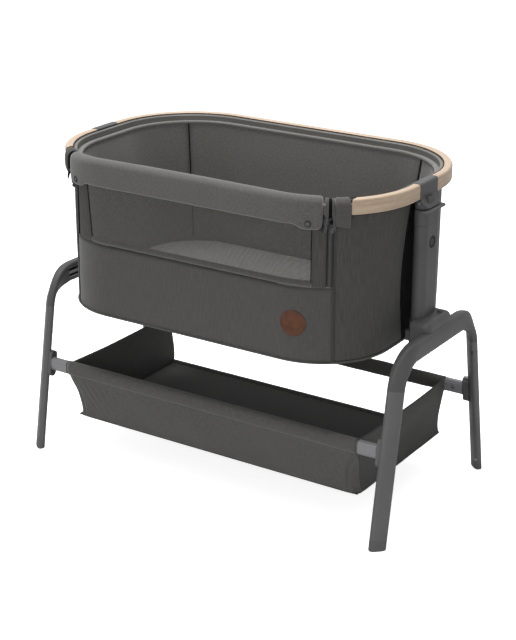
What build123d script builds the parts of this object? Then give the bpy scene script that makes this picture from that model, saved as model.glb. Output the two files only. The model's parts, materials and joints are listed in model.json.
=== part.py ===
"""Bedside bassinet on a sliding, height-adjustable stand with a storage basket.

Frame: millimetres, +Z up, origin on the floor at the centre of the four feet.
+X runs along the length, towards the right end. -Y is the side that drops down.
"""

import os
from math import atan2, cos, degrees, radians, sin

from build123d import *

# ---- rim ----
RIM_HALF_LENGTH = 415.5
RIM_HALF_WIDTH = 258.5
RIM_RADIUS = 204.0  # plan corner radius of the outer face
RIM_HEIGHT = 31.5
RIM_THICKNESS = 18.0
WOOD_SIDE = 6.0  # wood in front of the frame tube
WOOD_TOP = 12.0  # wood above the frame tube
FRAME_THICKNESS = 20.0
FRAME_WALL = 1.5  # of the frame's and the drop side's hollow rails
WOOD_ROUND = 5.0
LIP_DROP = 4.0  # inner lip of the frame tube, below the wood's top
LIP_CHAMFER = 1.2
RAIL_THICKNESS = 12.0  # drop side's own rail, in line with the frame tube
SEAM_GAP = 0.4  # between trim pieces and brackets
FIT_GAP = 0.15  # between plugged-in parts of one body
SLIDE_GAP = 0.3  # between parts that slide on each other
TOUCH_GAP = 0.5  # between a moving part and what it comes to rest by

# ---- cradle shell, liner, base ----
SHELL_HEIGHT = 312.5  # from its bottom to the rim
SHELL_END_INSET = 24.0  # shell's top, inside the rim's face at the ends
SHELL_SIDE_INSET = 10.5  # the same at the front and back
SHELL_RADIUS_STEP = 19.0
SHELL_END_TAPER = 12.5  # bottom of the shell, inside its top
SHELL_SIDE_TAPER = 2.5
SHELL_RADIUS_TAPER = 29.5
SHELL_THICKNESS = 4.0
LINER_THICKNESS = 4.5
LINER_DROP = 16.0  # liner's top edge below the wood's top
LINER_END_INSET = 2.5  # more than its gap from the frame, at the ends
LINER_GAP = 1.0
LINER_SEAM_INSET = 11.5  # seams between the liner's panels, inside the opening's ends
BASE_BOARD_THICKNESS = 8.0
MATTRESS_THICKNESS = 26.0
MATTRESS_GAP = 3.0
MATTRESS_ROUND = 6.0

# ---- carriages and columns ----
COLUMN_GAP = 5.5  # between the shell's top and the column
COLUMN_WIDTH = 31.0  # across, along X
COLUMN_LENGTH = 68.0  # along Y
COLUMN_HEIGHT = 246.5
COLUMN_WALL = 2.2
SOCKET_WALL = 3.0
SOCKET_HEIGHT = 49.0
SOCKET_FLOOR = 6.0
SOCKET_DROP = 35.5  # socket's bottom below the bar's top
SADDLE_HALF_LENGTH = 54.0
SADDLE_HEIGHT = 21.0  # above the bar
SADDLE_SKIRT = 4.5  # below the bar's top
SADDLE_OVERLAP = 8.5  # past the bar's centre plane
SADDLE_ROUND = 15.0
GUIDE_DROP = 14.0  # guide's bottom below the rail's middle
TONGUE_GAP = 0.3
TONGUE_HALF_LENGTH = 40.0

WINDOW_DROP = 38.5  # below the column's top
WINDOW_RADIUS = 14.0
WINDOW_RECESS = 0.7
BUTTON_OFFSET = 8.5  # slide release button, inboard of the bar's middle
BUTTON_Y = 28.0
BUTTON_WIDTH = 9.0
BUTTON_LENGTH = 11.0
BUTTON_HEIGHT = 5.0
BUTTON_TRAVEL = 3.0
BUTTON_DEPTH = 4.0  # part of the button inside the saddle
COVER_THICKNESS = 4.0
COVER_LENGTH = 24.0
COVER_HEIGHT = 22.0
COVER_Y = -20.0
COVER_RISE = 15.0  # above the socket's bottom

# ---- stand: slide rail inserts ----
RAIL_HEIGHT = 24.0
RAIL_DEPTH = 10.0
RAIL_LENGTH = 228.0
RAIL_RISE = 2.25  # above the bar's middle
GROOVE_HEIGHT = 6.0
GROOVE_DEPTH = 6.0
GROOVE_PITCH = 13.0

# ---- stand: side frames ----
POST_GAP = 5.5  # between the column and the bar
LEG_SPLAY = 59.0  # foot centres, beyond the leg's top
LEG_WIDTH = 36.0  # long axis of the leg's oval section
LEG_DEPTH = 18.5  # short axis of the leg's oval section
LEG_TURN = 42.0  # degrees that the oval is turned about the leg
LEG_WALL = 2.0
LEG_POWER = 2.9  # squareness of the oval, 2 is an ellipse
BAR_HEIGHT = 43.5
BAR_THICKNESS = 26.0
BAR_POWER = 3.6
BAR_TOP_Z = 413.5
ELBOW_RADIUS = 73.0  # on the centre line
ELBOW_STEPS = 5  # loft sections from leg to bar
ELBOW_REACH = 56.0  # leg's top, beyond the end of the slide rail
ELBOW_DROP = 83.5  # seam between elbow and leg tube, below the bar's top
SPIGOT_LENGTH = 45.0  # elbow spigot inside the leg tube

FOOT_CAP_HEIGHT = 22.0
FOOT_SPIGOT = 18.0
FOOT_EDGE = 2.0  # rounding of the foot cap's rim

SNAP_PIN_DROP = 26.0  # snap pin below the elbow seam, along the leg
SNAP_PIN_RADIUS = 4.0
SNAP_PIN_PROUD = 2.2
SNAP_PIN_DEPTH = 8.0
PIN_RUNNING_GAP = 0.06

# ---- stand: basket rails and their brackets ----
BASKET_RAIL_Z = 200.0
BASKET_RAIL_HEIGHT = 28.0
BASKET_RAIL_DEPTH = 16.0
BASKET_RAIL_WALL = 1.5
BRACKET_WALL = 1.6
BRACKET_SOCKET_LENGTH = 44.0  # socket round the rail's end
BRACKET_END_WALL = 5.0
BRACKET_PLATE_HEIGHT = 60.0
BRACKET_PLATE_WIDTH = 20.0
BRACKET_PLATE_THICKNESS = 14.0
BRACKET_STANDOFF = 22.5  # plate's face, inboard of the side frame's middle
SCREW_HEAD_RADIUS = 3.2
SCREW_HEAD_HEIGHT = 1.6

# ---- basket ----
BASKET_END_GAP = 4.0  # between the basket's sleeves and the rails' sockets
BASKET_FLARE = 8.0  # how much each end leans out by its top
BASKET_DEPTH = 132.0
BASKET_RISE = 12.0  # basket's top, above the rails' middle
BASKET_FRONT_Y = 176.0
BASKET_BACK_Y = 188.0
FABRIC = 3.0  # basket cloth with its binding
SLEEVE_HEIGHT = 35.0
SLEEVE_DEPTH = 21.0
BACK_STRIP = 24.0  # rear cloth strip, down from the rail's middle
BOARD_THICKNESS = 3.5
BOARD_INSET = 8.0

# ---- telescopic posts, collars, levers and lock pins ----
TUBE_WALL = 2.0
TUBE_FOOT_GAP = 18.0  # above the column's foot
COLLAR_HEIGHT = 29.0
COLLAR_WALL = 0.4
POST_HEAD = 56.0  # rim above the column's top, at the lowest setting
HEIGHT_TRAVEL = 140.0
LEVER_THICKNESS = 3.5
LEVER_TRAVEL = 2.0
LEVER_REACH = 7.5  # beyond the collar's outer face
LEVER_SIDE = 9.0  # beyond the collar's ends
LEVER_START = 4.0  # flare starts this far outboard of the post's middle
LEVER_STEM_Y = 21.0
LEVER_STEM_WIDTH = 6.0
LEVER_STEM_DEPTH = 4.0
LOCK_PIN_RADIUS = 3.0
LOCK_PIN_Y = 13.0
LOCK_PIN_RISE = 71.0  # above the column's foot
LOCK_PIN_HEAD = 5.0  # half-height of its square head
LOCK_PIN_LENGTH = 17.0

BRACKET_HALF_WIDTH = 36.0
BRACKET_SKIN = 1.0  # bracket round the rim's section
BRACKET_SPIGOT_LENGTH = 42.0
BRACKET_SPIGOT_WIDTH = 26.0
BOSS_RADIUS = 6.0
BOSS_DEPTH = 2.5
BOSS_OFFSET = 2.0  # outboard of the column's middle
BOSS_DROP = 8.0  # below the rim

# ---- drop side ----
OPENING_INSET = 104.0  # ends of the opening in the front, inside the rim's ends
SILL_HEIGHT = 161.0  # fold line of the drop side, above the shell's bottom
SILL_GAP = 1.0
FLAP_LEAF_DROP = 20.5  # hanging leaf, below the rim
FLAP_TAB_DROP = 9.0  # studded tabs at both ends hang lower
FLAP_TAB_LENGTH = 46.0
FLAP_TAB_ROUND = 8.0
FLAP_PROUD = 6.0
FLAP_LEAF = 9.5  # thickness of the hanging leaf
FLAP_INNER_LEAF = 6.0
FLAP_INNER_GAP = 1.0  # inner leaf's hem above the rim's underside
STUD_INSET = 25.0  # from the flap's end
STUD_RISE = 14.0  # above the tab's hem
STUD_RADIUS = 6.8
STUD_HEIGHT = 2.0

SLEEVE_START_GAP = 15.5  # corner sleeves, from the opening's end
SLEEVE_LENGTH = 27.0
SLEEVE_PROUD = 3.5
SLEEVE_TOP_PROUD = 2.5
SLEEVE_DROP = 24.5  # below the rim

ZIP_OFFSET = 5.0  # beside the opening
ZIP_WIDTH = 9.0
ZIP_THICKNESS = 1.4
ZIP_TOP_GAP = 4.5
ZIP_BOTTOM_GAP = 2.0
SLIDER_DROP = 16.0  # below the zip's top
SLIDER_WIDTH = 8.0
SLIDER_HEIGHT = 12.0
SLIDER_THICKNESS = 4.0
SLIDER_GAP = 0.4
PULL_PIN_RADIUS = 1.0
PULL_WIDTH = 6.0
PULL_LENGTH = 16.0
PULL_THICKNESS = 1.8
PULL_OFFSET = 3.3  # pin in front of the slider's face

PATCH_X = 249.0
PATCH_RISE = 83.0  # above the shell's bottom
PATCH_RADIUS = 27.0
PATCH_THICKNESS = 2.2

# ---- places that follow from the sizes ----
OPENING_HALF = RIM_HALF_LENGTH - OPENING_INSET
SHELL_TOP_HALF_LENGTH = RIM_HALF_LENGTH - SHELL_END_INSET
SHELL_TOP_HALF_WIDTH = RIM_HALF_WIDTH - SHELL_SIDE_INSET
SHELL_TOP_RADIUS = RIM_RADIUS - SHELL_RADIUS_STEP
SHELL_BOTTOM_HALF_LENGTH = SHELL_TOP_HALF_LENGTH - SHELL_END_TAPER
SHELL_BOTTOM_HALF_WIDTH = SHELL_TOP_HALF_WIDTH - SHELL_SIDE_TAPER
SHELL_BOTTOM_RADIUS = SHELL_TOP_RADIUS - SHELL_RADIUS_TAPER

COLUMN_X = SHELL_TOP_HALF_LENGTH + COLUMN_GAP + COLUMN_WIDTH / 2
SIDE_X = COLUMN_X + COLUMN_WIDTH / 2 + POST_GAP + BAR_THICKNESS / 2
BAR_INNER_X = SIDE_X - BAR_THICKNESS / 2
BUTTON_X = SIDE_X - BUTTON_OFFSET
BOSS_X = COLUMN_X + BOSS_OFFSET
BRACKET_PLATE_X = SIDE_X - BRACKET_STANDOFF
BASKET_HALF_LENGTH = BRACKET_PLATE_X - BRACKET_SOCKET_LENGTH - BASKET_END_GAP - BASKET_FLARE
SLEEVE_START = OPENING_HALF + SLEEVE_START_GAP
SLEEVE_END = SLEEVE_START + SLEEVE_LENGTH
STUD_X = OPENING_HALF - STUD_INSET
ZIP_X = OPENING_HALF + ZIP_OFFSET
LINER_SEAM_X = OPENING_HALF - LINER_SEAM_INSET

LEG_TOP_Y = RAIL_LENGTH / 2 + ELBOW_REACH
LEG_TOP_Z = BAR_TOP_Z - ELBOW_DROP
FOOT_Y = LEG_TOP_Y + LEG_SPLAY
LEG_LEAN = degrees(atan2(LEG_SPLAY, LEG_TOP_Z))

BAR_CENTER_Z = BAR_TOP_Z - BAR_HEIGHT / 2
RAIL_CENTER_Z = BAR_CENTER_Z + RAIL_RISE
GUIDE_BOTTOM_Z = RAIL_CENTER_Z - GUIDE_DROP
SADDLE_TOP_Z = BAR_TOP_Z + SADDLE_HEIGHT
SADDLE_SKIRT_Z = BAR_TOP_Z - SADDLE_SKIRT
SOCKET_BOTTOM_Z = BAR_TOP_Z - SOCKET_DROP
SOCKET_TOP_Z = SOCKET_BOTTOM_Z + SOCKET_HEIGHT
COVER_Z = SOCKET_BOTTOM_Z + COVER_RISE
COLUMN_FOOT_Z = SOCKET_BOTTOM_Z + SOCKET_FLOOR
COLUMN_TOP_Z = COLUMN_FOOT_Z + COLUMN_HEIGHT
WINDOW_Z = COLUMN_TOP_Z - WINDOW_DROP
TUBE_FOOT_Z = COLUMN_FOOT_Z + TUBE_FOOT_GAP
LOCK_PIN_Z = COLUMN_FOOT_Z + LOCK_PIN_RISE
COLLAR_TOP_Z = COLUMN_TOP_Z + SLIDE_GAP + COLLAR_HEIGHT
LEVER_TOP_Z = COLLAR_TOP_Z + SLIDE_GAP + LEVER_THICKNESS
BRACKET_BLOCK_BOTTOM_Z = LEVER_TOP_Z + LEVER_TRAVEL + TOUCH_GAP

RIM_BOTTOM_Z = COLUMN_TOP_Z + POST_HEAD
RIM_TOP_Z = RIM_BOTTOM_Z + RIM_HEIGHT
FRAME_TOP_Z = RIM_TOP_Z - WOOD_TOP
LIP_TOP_Z = RIM_TOP_Z - LIP_DROP
BOSS_Z = RIM_BOTTOM_Z - BOSS_DROP
SHELL_BOTTOM_Z = RIM_BOTTOM_Z - SHELL_HEIGHT
LINER_TOP_Z = RIM_TOP_Z - LINER_DROP
SILL_Z = SHELL_BOTTOM_Z + SILL_HEIGHT
FLAP_BOTTOM_Z = RIM_BOTTOM_Z - FLAP_LEAF_DROP
FLAP_TAB_BOTTOM_Z = FLAP_BOTTOM_Z - FLAP_TAB_DROP
FLAP_INNER_BOTTOM_Z = RIM_BOTTOM_Z + FLAP_INNER_GAP
FLAP_TOP_Z = RIM_TOP_Z + FLAP_PROUD
STUD_Z = FLAP_TAB_BOTTOM_Z + STUD_RISE
SLEEVE_BOTTOM_Z = RIM_BOTTOM_Z - SLEEVE_DROP
SLEEVE_TOP_Z = RIM_TOP_Z + SLEEVE_TOP_PROUD
ZIP_TOP_Z = RIM_BOTTOM_Z - ZIP_TOP_GAP
ZIP_BOTTOM_Z = SILL_Z + ZIP_BOTTOM_GAP
SLIDER_Z = ZIP_TOP_Z - SLIDER_DROP
PATCH_Z = SHELL_BOTTOM_Z + PATCH_RISE

BASKET_TOP_Z = BASKET_RAIL_Z + BASKET_RISE
BASKET_FLOOR_Z = BASKET_TOP_Z - BASKET_DEPTH
BACK_GAP_TOP_Z = BASKET_RAIL_Z - BACK_STRIP
BIG = 2000.0

os.makedirs("parts", exist_ok=True)


def save(shape, name):
    """Write one sub-part, checked for being closed and of real volume."""
    if isinstance(shape, (list, ShapeList)):
        shape = Compound(children=list(shape))
    if not shape.is_valid or shape.volume <= 0:
        print("bad solid:", name)
    export_step(shape, f"parts/{name}.step")


def block(x0, x1, y0, y1, z0, z1):
    """Box from its two corners."""
    size = (abs(x1 - x0), abs(y1 - y0), abs(z1 - z0))
    return Pos((x0 + x1) / 2, (y0 + y1) / 2, (z0 + z1) / 2) * Box(*size)


def mirror_x(shape):
    """The same part at the left end."""
    return mirror(shape, about=Plane.YZ)


def mirror_y(shape):
    """The same part on the far side."""
    return mirror(shape, about=Plane.XZ)


def turn_half(shape):
    """The same part at the diagonally opposite leg."""
    return Rot(0, 0, 180) * shape


def oval(plane, half_a, half_b, power, turn=0.0, points=24):
    """Superellipse face: half_a lies turn degrees from the plane's x axis."""
    corners = []
    for step in range(points):
        angle = radians(360.0 * step / points)
        a = half_a * abs(cos(angle)) ** (2 / power) * (1 if cos(angle) >= 0 else -1)
        b = half_b * abs(sin(angle)) ** (2 / power) * (1 if sin(angle) >= 0 else -1)
        swing = radians(turn)
        x = a * cos(swing) - b * sin(swing)
        y = a * sin(swing) + b * cos(swing)
        corners.append(plane.from_local_coords(Vector(x, y, 0)))
    return Face(Wire([Edge.make_spline(corners, periodic=True)]))


def outer_circle(shape, point):
    """The round edge nearest to a point."""
    return shape.edges().filter_by(GeomType.CIRCLE).sort_by_distance(point)[0]


def obround(width, length, z0, z1, x=0.0, y=0.0):
    """Upright prism with a stadium section: width along X, length along Y."""
    section = Pos(x, y, z0) * SlotOverall(length, width, rotation=90)
    return extrude(section, amount=z1 - z0)


# ---------------------------------------------------------------- side frames
def leg_plane(along):
    """Plane across the front right leg, a distance down the leg from its seam."""
    lean = radians(LEG_LEAN)
    origin = (SIDE_X, -LEG_TOP_Y - along * sin(lean), LEG_TOP_Z - along * cos(lean))
    return Plane(origin, x_dir=(1, 0, 0), z_dir=(0, sin(lean), cos(lean)))


def leg_section(along, shrink=0.0):
    half_a = LEG_WIDTH / 2 - shrink
    half_b = LEG_DEPTH / 2 - shrink
    return oval(leg_plane(along), half_a, half_b, LEG_POWER, LEG_TURN)


def leg_prism(top, bottom, shrink=0.0):
    """Solid oval bar along the leg between two distances from the seam."""
    return extrude(leg_section(bottom, shrink), amount=bottom - top, dir=leg_plane(0).z_dir)


def leg_length():
    return LEG_TOP_Z / cos(radians(LEG_LEAN))


def leg_side_plane(along, out):
    """Plane that looks from the leg into the side frame, out from its axis."""
    plane = leg_plane(along)
    origin = plane.origin + plane.x_dir * leg_inner_point().X + plane.y_dir * out
    return Plane(origin, x_dir=plane.x_dir, z_dir=plane.y_dir)


def leg_inner_point():
    """Where the leg's oval reaches furthest into the side frame, from its axis."""
    edge = oval(Plane.XY, LEG_WIDTH / 2, LEG_DEPTH / 2, LEG_POWER, LEG_TURN).outer_wire()
    points = [edge.position_at(step / 180) for step in range(180)]
    return max(points, key=lambda point: point.Y)


def elbow_start_y():
    """Where the elbow's arc ends and the straight bar begins, from the middle."""
    heading = radians(90.0 - LEG_LEAN)
    rise = ELBOW_RADIUS * (1 - cos(heading))
    stub = (BAR_CENTER_Z - LEG_TOP_Z - rise) / sin(heading)
    return LEG_TOP_Y - stub * cos(heading) - ELBOW_RADIUS * sin(heading)


def elbow():
    """Front right elbow: the leg's turned oval grows and twists into the bar."""
    full = 90.0 - LEG_LEAN
    bar_y = -elbow_start_y()
    sections = [leg_section(0)]
    for step in range(ELBOW_STEPS + 1):
        share = step / ELBOW_STEPS
        heading = radians(full * (1 - share))
        y = bar_y - ELBOW_RADIUS * sin(heading)
        z = BAR_CENTER_Z - ELBOW_RADIUS * (1 - cos(heading))
        tangent = (0, cos(heading), sin(heading))
        plane = Plane((SIDE_X, y, z), x_dir=(1, 0, 0), z_dir=tangent)
        ease = share * share * (3 - 2 * share)
        half_a = LEG_WIDTH / 2 + ease * (BAR_HEIGHT - LEG_WIDTH) / 2
        half_b = LEG_DEPTH / 2 + ease * (BAR_THICKNESS - LEG_DEPTH) / 2
        power = LEG_POWER + ease * (BAR_POWER - LEG_POWER)
        turn = LEG_TURN + ease * (90.0 - LEG_TURN)
        sections.append(oval(plane, half_a, half_b, power, turn))
    return Solid(loft(sections).wrapped)


def bar_prism(half_length, grow=0.0):
    """Straight part of the top bar, or a bigger copy to cut clearance with."""
    plane = Plane((SIDE_X, -half_length, BAR_CENTER_Z), x_dir=(1, 0, 0), z_dir=(0, 1, 0))
    half_a = BAR_HEIGHT / 2 + grow
    half_b = BAR_THICKNESS / 2 + grow
    return extrude(oval(plane, half_a, half_b, BAR_POWER, 90.0), amount=2 * half_length, dir=(0, 1, 0))


def rail_recess(extra=0.0):
    half = RAIL_LENGTH / 2
    low = RAIL_CENTER_Z - RAIL_HEIGHT / 2
    return block(BAR_INNER_X - extra, BAR_INNER_X + RAIL_DEPTH, -half, half, low, low + RAIL_HEIGHT)


def side_frame():
    """Right side frame: bar, two elbows and their spigots, in one moulding."""
    front = elbow()
    front += leg_prism(0, SPIGOT_LENGTH, LEG_WALL + FIT_GAP)
    front -= pin_well()
    frame = front + bar_prism(elbow_start_y()) + mirror_y(front)
    return frame - rail_recess(BAR_THICKNESS)


def slide_rail():
    """Aluminium insert with two grooves that the carriage's tongues run in."""
    rail = rail_recess()
    half = RAIL_LENGTH / 2
    for side in (-1, 1):
        z = RAIL_CENTER_Z + side * GROOVE_PITCH / 2
        low, high = z - GROOVE_HEIGHT / 2, z + GROOVE_HEIGHT / 2
        rail -= block(BAR_INNER_X - 1, BAR_INNER_X + GROOVE_DEPTH, -half - 1, half + 1, low, high)
    return rail


def snap_pin_bore(radius):
    """Bore through the leg's inner side for the snap pin."""
    return extrude(leg_side_plane(SNAP_PIN_DROP, 0) * Circle(radius), amount=LEG_WIDTH)


def snap_pin():
    """Spring button that locks the leg tube on the elbow's spigot."""
    tip = leg_inner_point().Y + SNAP_PIN_PROUD
    plane = leg_side_plane(SNAP_PIN_DROP, tip - SNAP_PIN_DEPTH)
    pin = extrude(plane * Circle(SNAP_PIN_RADIUS), amount=SNAP_PIN_DEPTH)
    return fillet(outer_circle(pin, leg_side_plane(SNAP_PIN_DROP, tip).origin), SNAP_PIN_RADIUS / 3)


def pin_well():
    """Room behind the pin for it to be pressed in."""
    back = leg_inner_point().Y - SNAP_PIN_DEPTH - 0.5
    radius = SNAP_PIN_RADIUS + PIN_RUNNING_GAP
    return extrude(leg_side_plane(SNAP_PIN_DROP, back) * Circle(radius), amount=LEG_WIDTH)


def leg_tube():
    bottom = leg_length() - FOOT_CAP_HEIGHT
    tube = leg_prism(0, bottom) - leg_prism(-1, bottom + 1, LEG_WALL)
    return tube - snap_pin_bore(SNAP_PIN_RADIUS + PIN_RUNNING_GAP)


def foot_cap():
    """Plug-in cap, cut level with the floor."""
    top = leg_length() - FOOT_CAP_HEIGHT
    cap = leg_prism(top, leg_length() + FOOT_CAP_HEIGHT)
    cap &= block(0, BIG, -BIG, 0, 0, BIG)
    rim = cap.edges().sort_by(Axis.Z)[0]
    cap = fillet(rim, FOOT_EDGE)
    return cap + leg_prism(top - FOOT_SPIGOT, top, LEG_WALL + FIT_GAP)


def screw_head(point, normal):
    """Round head standing on a face, with its cross recess."""
    plane = Plane(point, z_dir=normal)
    head = extrude(plane * Circle(SCREW_HEAD_RADIUS), amount=SCREW_HEAD_HEIGHT)
    slot = plane * (Pos(0, 0, SCREW_HEAD_HEIGHT) * Box(SCREW_HEAD_RADIUS * 1.1, 0.8, 1.2))
    cross = plane * (Pos(0, 0, SCREW_HEAD_HEIGHT) * Box(0.8, SCREW_HEAD_RADIUS * 1.1, 1.2))
    return head - slot - cross


def foot_screw():
    plane = leg_side_plane(leg_length() - FOOT_CAP_HEIGHT - FOOT_SPIGOT / 2, leg_inner_point().Y)
    return screw_head(plane.origin, plane.z_dir)


# ------------------------------------------------------- basket and its rails
def rail_y():
    """The basket rails run between the legs' axes at their own height."""
    return LEG_TOP_Y + (LEG_TOP_Z - BASKET_RAIL_Z) * (FOOT_Y - LEG_TOP_Y) / LEG_TOP_Z


def rail_oval(x0, x1, grow=0.0):
    """Oval bar along X at the front basket rail's place."""
    section = Plane((x0, -rail_y(), BASKET_RAIL_Z), x_dir=(0, 1, 0), z_dir=(1, 0, 0))
    height = BASKET_RAIL_HEIGHT + 2 * grow
    depth = BASKET_RAIL_DEPTH + 2 * grow
    return extrude(section * SlotOverall(height, depth, rotation=90), amount=x1 - x0)


def rail_end_x():
    return BRACKET_PLATE_X - BRACKET_END_WALL


def basket_rail():
    end = rail_end_x()
    return rail_oval(-end, end) - rail_oval(-end - 1, end + 1, -BASKET_RAIL_WALL)


def rail_bracket():
    """Front right bracket: a plate that hugs the leg and a socket for the rail."""
    start = BRACKET_PLATE_X - BRACKET_SOCKET_LENGTH
    socket = rail_oval(start, BRACKET_PLATE_X + 1, BRACKET_WALL)
    socket -= rail_oval(start - 1, rail_end_x())
    face = Plane((BRACKET_PLATE_X, -rail_y(), BASKET_RAIL_Z), x_dir=(0, 1, 0), z_dir=(1, 0, 0))
    outline = SlotOverall(BRACKET_PLATE_HEIGHT, BRACKET_PLATE_WIDTH, rotation=90 - LEG_LEAN)
    plate = extrude(face * outline, amount=BRACKET_PLATE_THICKNESS)
    return (socket + plate) - leg_prism(0, leg_length())


def rail_screw():
    x = BRACKET_PLATE_X - BRACKET_SOCKET_LENGTH / 2
    depth = BASKET_RAIL_DEPTH / 2 + BRACKET_WALL
    return screw_head(Vector(x, -rail_y() + depth, BASKET_RAIL_Z), Vector(0, 1, 0))


def basket_fabric():
    """Open-backed cloth basket, hung from sleeves on the two rails."""
    top_y = rail_y()

    def tray(inset, low):
        bottom = Pos(0, (BASKET_BACK_Y - BASKET_FRONT_Y) / 2, low) * Rectangle(
            2 * (BASKET_HALF_LENGTH - inset), BASKET_FRONT_Y + BASKET_BACK_Y - 2 * inset)
        flare = 2 * (BASKET_HALF_LENGTH + BASKET_FLARE - inset)
        rim = Pos(0, 0, BASKET_TOP_Z) * Rectangle(flare, 2 * (top_y - inset))
        return loft([bottom, rim])

    basket = tray(0, BASKET_FLOOR_Z) - tray(FABRIC, BASKET_FLOOR_Z + FABRIC)
    gap = BASKET_HALF_LENGTH - FABRIC
    basket -= block(-gap, gap, 0.5 * top_y, BIG, BASKET_FLOOR_Z + FABRIC, BACK_GAP_TOP_Z)
    half = BASKET_HALF_LENGTH + BASKET_FLARE
    low = BASKET_RAIL_Z - SLEEVE_HEIGHT / 2
    for side in (-1, 1):
        y = side * top_y
        sleeve = block(-half, half, y - SLEEVE_DEPTH / 2, y + SLEEVE_DEPTH / 2, low, low + SLEEVE_HEIGHT)
        along = [edge for edge in sleeve.edges() if abs(edge.length - 2 * half) < 1e-6]
        basket += fillet(along, SLEEVE_DEPTH / 3)
    bore = rail_oval(-half - 1, half + 1, SLIDE_GAP)
    return basket - bore - mirror_y(bore)


def basket_board():
    """Stiffener that lies on the basket's floor."""
    x = BASKET_HALF_LENGTH - BOARD_INSET
    z = BASKET_FLOOR_Z + FABRIC
    board = block(-x, x, -BASKET_FRONT_Y + BOARD_INSET, BASKET_BACK_Y - BOARD_INSET, z, z + BOARD_THICKNESS)
    return fillet(board.edges().filter_by(Axis.Z), BOARD_INSET)


# ------------------------------------------------------- carriage and columns
def column_prism(z0, z1, shrink=0.0):
    width = COLUMN_WIDTH - 2 * shrink
    length = COLUMN_LENGTH - 2 * shrink
    return obround(width, length, z0, z1, COLUMN_X)


def carriage():
    """Right carriage: saddle on the bar, guide with tongues, and post socket."""
    inner = COLUMN_X
    outer = SIDE_X + SADDLE_OVERLAP
    half = SADDLE_HALF_LENGTH
    saddle = block(inner, outer, -half, half, SADDLE_SKIRT_Z, SADDLE_TOP_Z)
    corners = saddle.edges().filter_by(Axis.Z).group_by(Axis.X)[-1]
    saddle = fillet(corners, SADDLE_ROUND)
    top = saddle.faces().sort_by(Axis.Z)[-1]
    crown = [edge for edge in top.edges() if edge.center().X > inner + 1]
    saddle = fillet(crown, SADDLE_ROUND * 0.8)
    face = BAR_INNER_X - SLIDE_GAP
    guide = block(inner, face, -half, half, GUIDE_BOTTOM_Z, SADDLE_SKIRT_Z + 1)
    socket = column_prism(SOCKET_BOTTOM_Z, SOCKET_TOP_Z, -SOCKET_WALL)
    body = saddle + guide + socket
    body -= bar_prism(half + 1, SLIDE_GAP)
    body -= block(face, BIG, -BIG, BIG, 0, SADDLE_SKIRT_Z)
    body -= column_prism(COLUMN_FOOT_Z, BIG)
    for side in (-1, 1):
        z = RAIL_CENTER_Z + side * GROOVE_PITCH / 2
        reach = GROOVE_HEIGHT / 2 - TONGUE_GAP
        tip = BAR_INNER_X + GROOVE_DEPTH - TONGUE_GAP
        long = TONGUE_HALF_LENGTH
        body += block(face - 1, tip, -long, long, z - reach, z + reach)
    return body - button_well()


def button_well():
    """Blind pocket that the slide release button goes down into."""
    gap = SLIDE_GAP
    half_w = BUTTON_WIDTH / 2 + gap
    half_l = BUTTON_LENGTH / 2 + gap
    deep = SADDLE_TOP_Z - BUTTON_DEPTH - BUTTON_TRAVEL - gap
    return block(BUTTON_X - half_w, BUTTON_X + half_w, BUTTON_Y - half_l, BUTTON_Y + half_l, deep, BIG)


def slide_button():
    """Chamfered press button that frees the carriage."""
    half_w = BUTTON_WIDTH / 2
    half_l = BUTTON_LENGTH / 2
    x0, x1 = BUTTON_X - half_w, BUTTON_X + half_w
    y0, y1 = BUTTON_Y - half_l, BUTTON_Y + half_l
    button = block(x0, x1, y0, y1, SADDLE_TOP_Z - BUTTON_DEPTH, SADDLE_TOP_Z + BUTTON_HEIGHT)
    button = chamfer(button.faces().sort_by(Axis.Z)[-1].edges(), 1.5)
    return button


def column():
    """Outer post: oval tube with its window and the slot for the lock pin."""
    tube = column_prism(COLUMN_FOOT_Z, COLUMN_TOP_Z) - column_prism(0, BIG, COLUMN_WALL)
    tube -= window_disc(COLUMN_X, BIG, WINDOW_RADIUS)
    width = LOCK_PIN_RADIUS + SLIDE_GAP
    low = LOCK_PIN_Z - width - 1
    high = LOCK_PIN_Z + HEIGHT_TRAVEL + width + 1
    return tube - block(0, COLUMN_X, LOCK_PIN_Y - width, LOCK_PIN_Y + width, low, high)


def window_disc(x0, x1, radius):
    plane = Plane((x0, 0, WINDOW_Z), z_dir=(1, 0, 0))
    return extrude(plane * Circle(radius), amount=x1 - x0)


def height_window():
    """Smoked lens that shows the height setting on the post inside."""
    outer = COLUMN_X + COLUMN_WIDTH / 2 - WINDOW_RECESS
    inner = COLUMN_X + COLUMN_WIDTH / 2 - COLUMN_WALL
    return window_disc(inner, outer, WINDOW_RADIUS)


def carriage_cover():
    """Screwed cover on the inboard side of the carriage's socket."""
    face = COLUMN_X - COLUMN_WIDTH / 2 - SOCKET_WALL
    y0, y1 = COVER_Y - COVER_LENGTH / 2, COVER_Y + COVER_LENGTH / 2
    z0, z1 = COVER_Z - COVER_HEIGHT / 2, COVER_Z + COVER_HEIGHT / 2
    cover = block(face - COVER_THICKNESS, COLUMN_X, y0, y1, z0, z1)
    edges = cover.faces().sort_by(Axis.X)[0].edges()
    cover = fillet(edges, COVER_THICKNESS / 3)
    cover -= column_prism(SOCKET_BOTTOM_Z, SOCKET_TOP_Z, -SOCKET_WALL)
    for z in (COVER_Z - COVER_HEIGHT / 4, COVER_Z + COVER_HEIGHT / 4):
        cover += screw_head(Vector(face - COVER_THICKNESS, COVER_Y, z), Vector(-1, 0, 0))
    return cover


# --------------------------------------------------- telescopic post and lock
def tube_shrink():
    return COLUMN_WALL + SLIDE_GAP


def inner_tube():
    tube = column_prism(TUBE_FOOT_Z, COLLAR_TOP_Z, tube_shrink())
    tube -= column_prism(0, BIG, tube_shrink() + TUBE_WALL)
    bore = lock_pin_rod(COLUMN_X - COLUMN_WIDTH, COLUMN_X, LOCK_PIN_RADIUS + PIN_RUNNING_GAP)
    return tube - bore


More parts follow.
